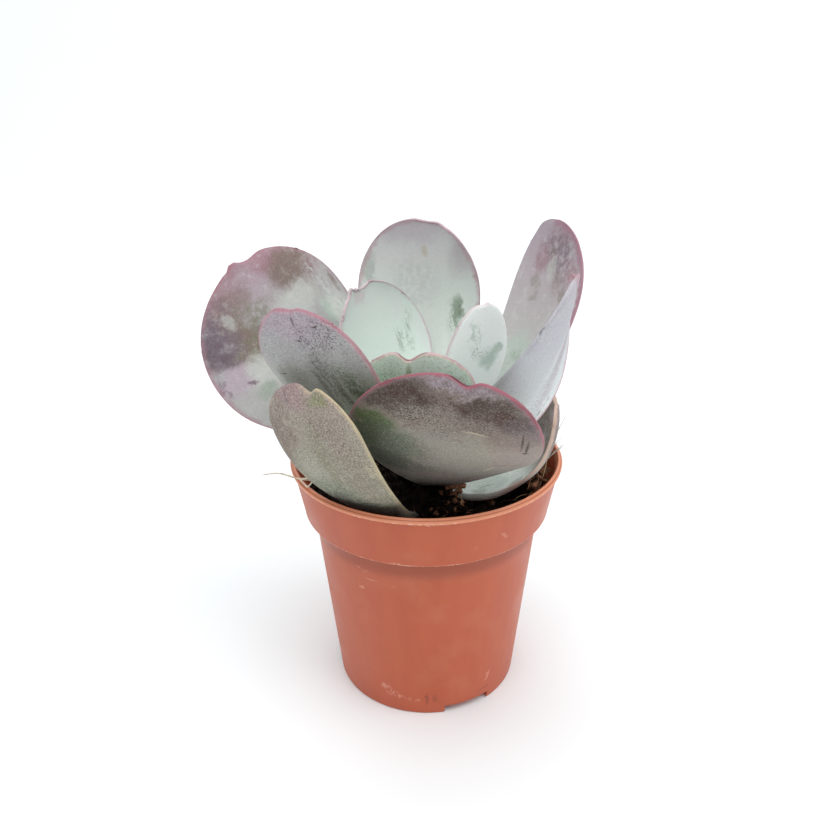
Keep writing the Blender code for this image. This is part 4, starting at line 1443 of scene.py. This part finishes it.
# %% Looks of the leaves behind
# Painted light: back_center is lighter than the other old leaves, as upright it gets little lamp light.
dress(
    "back_center",
    [(0.4, "#e6efe7"), (0.75, "#dfe5e0"), (1.0, "#d9d3d8")],
    [
        spot(LILAC, 5, 50, (8, 4), 0.35),
        spot(LILAC, -9, 46, (3.5, 6), 0.4, turn=20),
        spot(SAGE, 12.5, 41, (1.5, 3.5), 0.4),
        spot(ASH, 3, 38, (5, 6), 0.25, "mottle"),
        spot(BONE, 0.5, 45.3, (0.8, 1), 0.5),
        spot(MAUVE, -11.5, 41, (0.8, 1.6), 0.6),
        spot(SAGE, -7, 32.5, (1.3, 3.2), 0.9),
        spot(FERN, -7.6, 32.5, (0.7, 1.6), 0.5, "mottle"),
        spot(SAGE, -6, 30, (1.6, 4), 0.7, "streaks"),
    ],
    margin=(ROSE, 1.2, 0.5), line=(MAUVE, 0.25, 0.5), specks=0.05, grain=0.08, powder=0.2)
dress(
    "back_right",
    [(0.4, "#b2c1b6"), (0.55, "#bcbab8"), (0.75, "#b9aeb2"), (1.0, LILAC)],
    [
        spot(MAUVE, -4, 56, (4.5, 2.5), 0.4),
        spot("#8a717a", -3.5, 53, (6, 5), 0.6, "mottle"),
        spot(PLUM, -3.5, 54, (4.5, 2.2), 0.5, "mottle"),
        spot(UMBER, -1, 52, (2, 1.5), 0.5, "mottle"),
        spot(MAUVE, 1.5, 50.5, (2.5, 3), 0.7),
        spot(PLUM, -6, 50, (2.5, 4), 0.45, "mottle"),
        spot(MAUVE, -9, 48.5, (2.5, 3), 0.7, "mottle"),
        spot(UMBER, -5.5, 46, (2, 2.5), 0.35),
        spot(STONE, 2, 46, (1.5, 1.2), 0.6),
        spot(STONE, 0, 44, (1, 2), 0.5, "mottle"),
        spot(STONE, 1, 42, (1.2, 0.8), 0.6),
        spot(PALE, -3, 49, (1.5, 2.5), 0.5),
        spot(UMBER, -8.5, 43.5, (1.2, 2), 0.5),
        spot(MINT, 0, 31, (4, 4), 0.5),
        spot(SAGE, -1, 29, (2, 1.5), 0.7, "mottle"),
    ],
    margin=("#a9788a", 1.6, 0.7), line=(CRIMSON, 0.3, 0.25), specks=0.15, grain=0.1,
    tinted_side=-1)

# %% [markdown]
# Two leaves at the sides are seen from below, so their stains belong to the under face. On the
# right one, the margin's rose is wide where the leaf folds. The left one is pale green at its foot,
# partly painted light against the deep shade there, with a worn ridge and painted shade in the
# grooves beside it, and dots along the ridge look more like wear than one solid patch would.

# %% Looks of the leaves that show their under faces
dress(
    "right_folded",
    [(0.4, "#e4ebe9"), (0.6, "#d3d7d9"), (0.8, "#bcbcc2"), (1.0, "#b8b2ba")],
    [
        spot(LILAC, 6, 36, (3, 9), 0.5),
        spot(PLUM, 5, 37, (2.5, 5), 0.6, "dots"),
        spot(PLUM, 5, 28, (4, 8), 0.5, "dots"),
        spot(LILAC, 7, 22, (3, 6), 0.5, "mottle"),
        spot(PLUM, 9.0, 19.5, (0.3, 0.8), 0.9, "scratch", turn=15),
        spot(PLUM, 9.8, 22.5, (0.25, 0.6), 0.7, "scratch"),
        spot("#c98a98", 4.0, 45, (2, 1.6), 0.7),
        spot(ROSE, 1.4, 46, (0.9, 5), 0.7, "scratch"),
        spot(CRIMSON, 1.8, 45, (0.35, 4), 0.4, "scratch"),
    ],
    margin=(ROSE, 3.0, 0.8), line=(CRIMSON, 1.4, 0.5), specks=0.3, grain=0.12,
    tinted_side=1, face=-1)
dress(
    "left_mid",
    # The foot's pale green is partly painted light, against the deep shade there.
    [(0.3, "#d6eacb"), (0.6, "#cdd4c8"), (0.85, "#b3afb0"), (1.0, LILAC)],
    [
        spot(LILAC, -1, 41.5, (6, 3)),
        spot(ASH, -5, 37, (4, 4), 0.7),
        spot(PLUM, 5.5, 38.5, (2.5, 3.5), 0.95, "dots"),
        spot(PLUM, 2, 35, (3, 6), 0.4, "dots"),
        spot(PLUM, 1.5, 36.5, (1.2, 5), 0.9, "dots"),
        spot(ASH, 8.5, 33, (2, 4), 0.6),
        spot(FERN, 3.5, 27, (3, 6), 0.6, "dots"),
        spot("#66785a", 6, 24, (2.5, 6), 0.8, "mottle"),
        spot("#4b5148", 1.5, 30, (1.6, 6), 0.45, "streaks"),
        # Painted shade in the grooves beside the ridge.
        spot(PAINTED_SHADE, -0.5, 26, (0.6, 6), 0.5),
        spot(PAINTED_SHADE, 2.8, 23, (0.8, 6), 0.3),
        spot("#55703f", 5.5, 25.5, (3, 6), 0.8, "dots"),
        spot("#d4dccf", 3.6, 24, (0.5, 6), 0.7, "scratch"),
        spot("#c9cfc6", -1.5, 28, (0.5, 5), 0.5, "scratch", turn=-5),
        spot(ASH, -3.5, 26, (1.5, 6), 0.7, "streaks"),
        spot(STONE, -6, 30, (3, 4), 0.7),
        spot(PLUM, 0.7, 42.3, (0.2, 1.1), 0.9, "scratch"),
        spot(BARK, 4.5, 40.5, (0.5, 0.2), 0.9, "scratch"),
        spot(BARK, 0.2, 38.5, (0.7, 0.2), 0.7, "scratch", turn=-20),
        spot(BARK, -7.5, 31.5, (0.7, 0.2), 0.7, "scratch"),
    ],
    margin=(ROSE, 0.6, 0.5), line=(CRIMSON, 0.25, 0.4), specks=0.4, grain=0.3,
    powder=0.2, face=-1)

# %% [markdown]
# The lowest leaf on the left lies in the soil's shade: olive and umber, with dust on it, and
# painted shade in dark green towards its foot. Its powder is all but gone, so the grain is strong,
# and its edge is a thin straw line.

# %% Look of front_left
dress(
    "front_left",
    # The foot starts in painted shade.
    [(0.15, PAINTED_SHADE), (0.4, "#82806c"), (0.6, "#8f8a76"), (0.85, "#a1978a"), (1.0, "#a4918a")],
    [
        spot(MAUVE, -4, 43.5, (4, 2.5), 0.5),
        spot(OLIVE, 2.5, 44, (2.5, 1.5), 0.9),
        spot("#8f9a5c", 2.5, 43.5, (2.0, 0.8), 0.6, "mottle"),
        spot(PLUM, -5, 42.5, (0.6, 1.2), 0.8, "mottle"),
        spot(UMBER, -7, 37, (2.5, 5), 0.8, "mottle"),
        spot(UMBER, -10, 34, (1.5, 6), 0.8),
        spot(OLIVE, 0, 33, (2, 8), 0.6),
        spot(UMBER, 2, 38.5, (3, 3), 0.8, "dots"),
        spot(UMBER, 5, 34, (2.5, 6), 0.9, "dots"),
        spot(UMBER, 4, 24, (2.5, 5), 0.8, "dots"),
        spot(BONE, 8.2, 29, (1, 2), 0.5, "mottle"),
        spot("#a9a698", -5, 28, (3, 5), 0.6),
        spot(FERN, -4, 21, (6, 5), 0.7),
        # Painted shade on the lower part, where the leaf lies in shade.
        spot(PAINTED_SHADE, -5, 19, (5, 3), 0.8),
        spot(PAINTED_SHADE, -1, 17, (5, 2), 0.9),
        spot(OLIVE, 6.5, 18, (0.5, 3)),
    ],
    margin=(BONE, 0.4, 0.4), line=("#cdbf94", 0.12, 0.55), specks=0.4, grain=0.5,
    powder=0.25, powder_colour="#cfc5b4", tinted_side=1, soiled=3.0, face=-1)

# %% [markdown]
# The broad leaf in front is the most handled one. A dark brown scar runs under its tip, and old
# scratches cross its face. The scar could be one dark oval, but soft patches under dotted and
# mottled ones break up its edge. A scratch is a long thin stain with a clean edge.

# %% Look of front_big
dress(
    "front_big",
    [(0.3, "#736d65"), (0.6, "#999183"), (0.85, "#857a71"), (1.0, "#857579")],
    [
        spot(MAUVE, 11, 24, (4, 6), 0.25),
        spot(UMBER, 9, 30, (5, 4), 0.6),
        spot(LILAC, -3, 39.5, (4, 1.8), 0.6, "mottle"),
        spot(BARK, -9.5, 35.8, (6, 2.8), 0.9),
        spot(BARK, -13.5, 32, (3.5, 2.2), 0.85),
        spot(BARK, -10, 32, (6, 3.5), 0.8, "dots"),
        spot(UMBER, -2.5, 36.5, (3.5, 2.2), 0.8),
        spot(BARK, -1, 35.5, (4, 2.5), 0.8, "dots"),
        spot(BARK, 2, 36, (3.4, 2.0), 0.85),
        spot(LILAC, 3, 39.2, (2, 1.0), 0.6, "mottle"),
        spot(SOOT, -10, 35, (5.5, 2), 0.9, "mottle"),
        spot(SOOT, 1, 36.5, (3, 1.4), 0.8, "mottle"),
        spot(BARK, 5.4, 36.8, (3.6, 1.8), 0.85),
        spot(UMBER, 3, 33, (4.5, 2.6), 0.5),
        spot(BARK, 4, 33, (5, 3), 0.8, "dots"),
        spot(BARK, 9, 33.5, (3.6, 2.3), 0.75),
        spot(SOOT, 6, 34.6, (4, 1.8), 0.9, "mottle"),
        spot(PLUM, 10, 32.5, (3.5, 3), 0.8, "dots"),
        spot(PLUM, 12.5, 31.5, (2, 2.5), 0.6, "mottle"),
        spot(STONE, -2, 25.5, (6, 4), 0.5),
        spot(MOSS, -14, 26.5, (4, 2.4), 0.9),
        spot(FERN, -11, 21, (6, 5.5), 0.8),
        spot(BARK, -7.5, 19, (4.5, 6), 0.6, "dots"),
        # The dark stains low on the left, here and below, are painted shade.
        spot(PAINTED_SHADE, -13, 22, (3.5, 5), 0.7, "dots"),
        spot("#4f5d42", -15, 22, (2.5, 4), 0.7),
        spot(PAINTED_SHADE, -11, 16, (5, 3), 0.6),
        spot(BARK, -5, 31, (6, 4), 0.6, "dots"),
        spot(BARK, -4, 13, (6, 3), 0.6, "dots"),
        spot(PAINTED_SHADE, -9, 14, (6, 2.5), 0.7),
        spot(UMBER, 2, 11, (8, 2.5), 0.6),
        spot(UMBER, 9.5, 19.3, (3, 0.25), 0.8, "scratch"),
        spot(UMBER, 7.5, 20.5, (0.25, 1.5), 0.4, "scratch", turn=20),
        spot(UMBER, 0.5, 27.5, (1.0, 0.5), 0.7, "mottle"),
        spot(BARK, 11.7, 26.8, (0.22, 2.2), 1.0, "scratch", turn=4),
        spot(BARK, 11.8, 25.0, (0.6, 0.26), 1.0, "scratch"),
        spot(BARK, 10.6, 28.6, (0.2, 2.5), 0.9, "scratch", turn=6),
        spot(BONE, 2.8, 30.1, (2.2, 0.2), 0.7, "scratch", turn=-12),
        spot(UMBER, 5.8, 29.0, (1.4, 0.2), 0.9, "scratch", turn=-25),
        spot(UMBER, -7.5, 28.7, (0.24, 2.4), 1.0, "scratch", turn=-45),
        spot(BONE, 7.0, 17.2, (0.2, 1.4), 0.7, "scratch", turn=-30),
        spot(UMBER, -1.5, 38.0, (0.2, 2.4), 0.8, "scratch", turn=-50),
    ],
    margin=(MAUVE, 0.8, 0.5), line=("#a4485a", 0.35, 0.6), specks=0.35, grain=0.22,
    powder=0.1, powder_colour="#cdc6bb", soiled=4.0, face=-1)

# %% [markdown]
# The small leaf on the right curls up from mint green to a dry brown end, so the change along the
# blade does most of the work here, and a few stains roughen it.

# %% Look of right_low
dress(
    "right_low",
    [(0.1, "#e2ece4"), (0.45, "#e6f0e9"), (0.6, "#a4a797"), (0.72, "#6c6152"), (1.0, "#7a665c")],
    [
        spot(MINT, -3, 8, (4, 4), 0.6),
        spot(SAGE, -5, 4.5, (2, 1.5), 0.6),
        spot(FERN, -3, 7, (0.3, 1.5)),
        spot(OLIVE, -9, 12, (1.5, 2), 0.5),
        spot(BARK, -1, 24, (4, 4), 0.5, "mottle"),
        spot(MAUVE, -3, 29, (3, 2), 0.6),
    ],
    margin=(MAUVE, 1.2, 0.6), line=("#cdb5a2", 0.6, 0.8), specks=0.3, grain=0.3, soiled=-3.0)

# %% [markdown]
# Young leaves are almost white: their powder has not been touched yet, and a hint of mint shows
# at the foot. They share one change of colour, with few stains, and the ones that hardly show get
# a look without any.

# %% Looks of the inner leaves
YOUNG = [(0.4, "#dcebe2"), (0.8, "#d6e2da"), (1.0, "#d2d8d4")]
dress(
    "inner_left",
    YOUNG,
    [
        spot(ROSE, 1.5, 32.5, (2.5, 2), 0.3),
        spot(MAUVE, 3, 34, (0.8, 0.5), 0.9),
        spot(FARINA, -9.5, 29, (1.5, 4), 0.8),
        spot(FARINA, -15, 20, (2, 5), 0.8),
        spot(SAGE, -12, 23.5, (1.3, 2.2), 0.7, "streaks"),
        spot(SAGE, -9, 20, (2.2, 3), 0.6, "streaks", turn=-30),
    ],
    margin=(ROSE, 0.6, 0.4), line=(MAUVE, 0.2, 0.5), specks=0.05, grain=0.06, powder=0.25)
# Painted light: inner_right is near white, lighter than the other young leaves, for lamp light it
# misses.
dress(
    "inner_right",
    [(0.4, "#fafffc"), (0.8, "#f6fdf9"), (1.0, "#eef4f0")],
    [
        spot(MINT, 2, 20.5, (2, 2.2), 0.8),
        spot(MINT, 4, 22, (1.2, 1)),
        spot(MINT, -2, 25, (1.2, 2.5), 0.7, "streaks"),
        spot(SAGE, -1, 22, (1.3, 1.3), 0.6, "dots"),
        spot(ROSE, 4.5, 30, (1, 1), 0.6),
    ],
    margin=(ROSE, 0.4, 0.2), line=(ROSE, 0.2, 0.4), specks=0.05, grain=0.06, powder=0.25,
    powder_colour="#f6fbf8", face=-1)
dress(
    "inner_front",
    [(0.6, "#aec8b4"), (1.0, "#d6e4d9")],
    [
        spot("#7f8c62", 0, 21, (0.5, 3), 0.8, "scratch"),
        spot(FERN, -3, 20, (2.5, 2), 0.5, "dots"),
        spot(OLIVE, 8.5, 17, (1.5, 2.5), 0.7),
        spot(MOSS, -8, 19, (1.2, 2.5), 0.6, "dots"),
    ],
    margin=(BONE, 0.8, 0.5), line=(ROSE, 0.35, 0.8), specks=0.4, grain=0.25, powder=0.25,
    face=-1)
for hidden in ("inner_back", "bud_left", "bud_right"):
    dress(hidden, YOUNG, margin=(ROSE, 0.5, 0.3), line=(ROSE, 0.3, 0.5), specks=0.05)

# %% [markdown]
# Now the parts come together. Each leaf could have its own cell, but all that differs between them
# stands in the values above, so one short loop bends each blade, gives it its skin and puts it in
# the place of its solid.

# %% Build the leaves
for name, leaf in LEAVES.items():
    blade = model_leaf(leaf, NICKS.get(name, ()))
    material = skin("farina_skin_" + name, leaf, LOOKS[name])
    finish_piece(blade, "blade_" + name, [material], ["leaf_" + name])
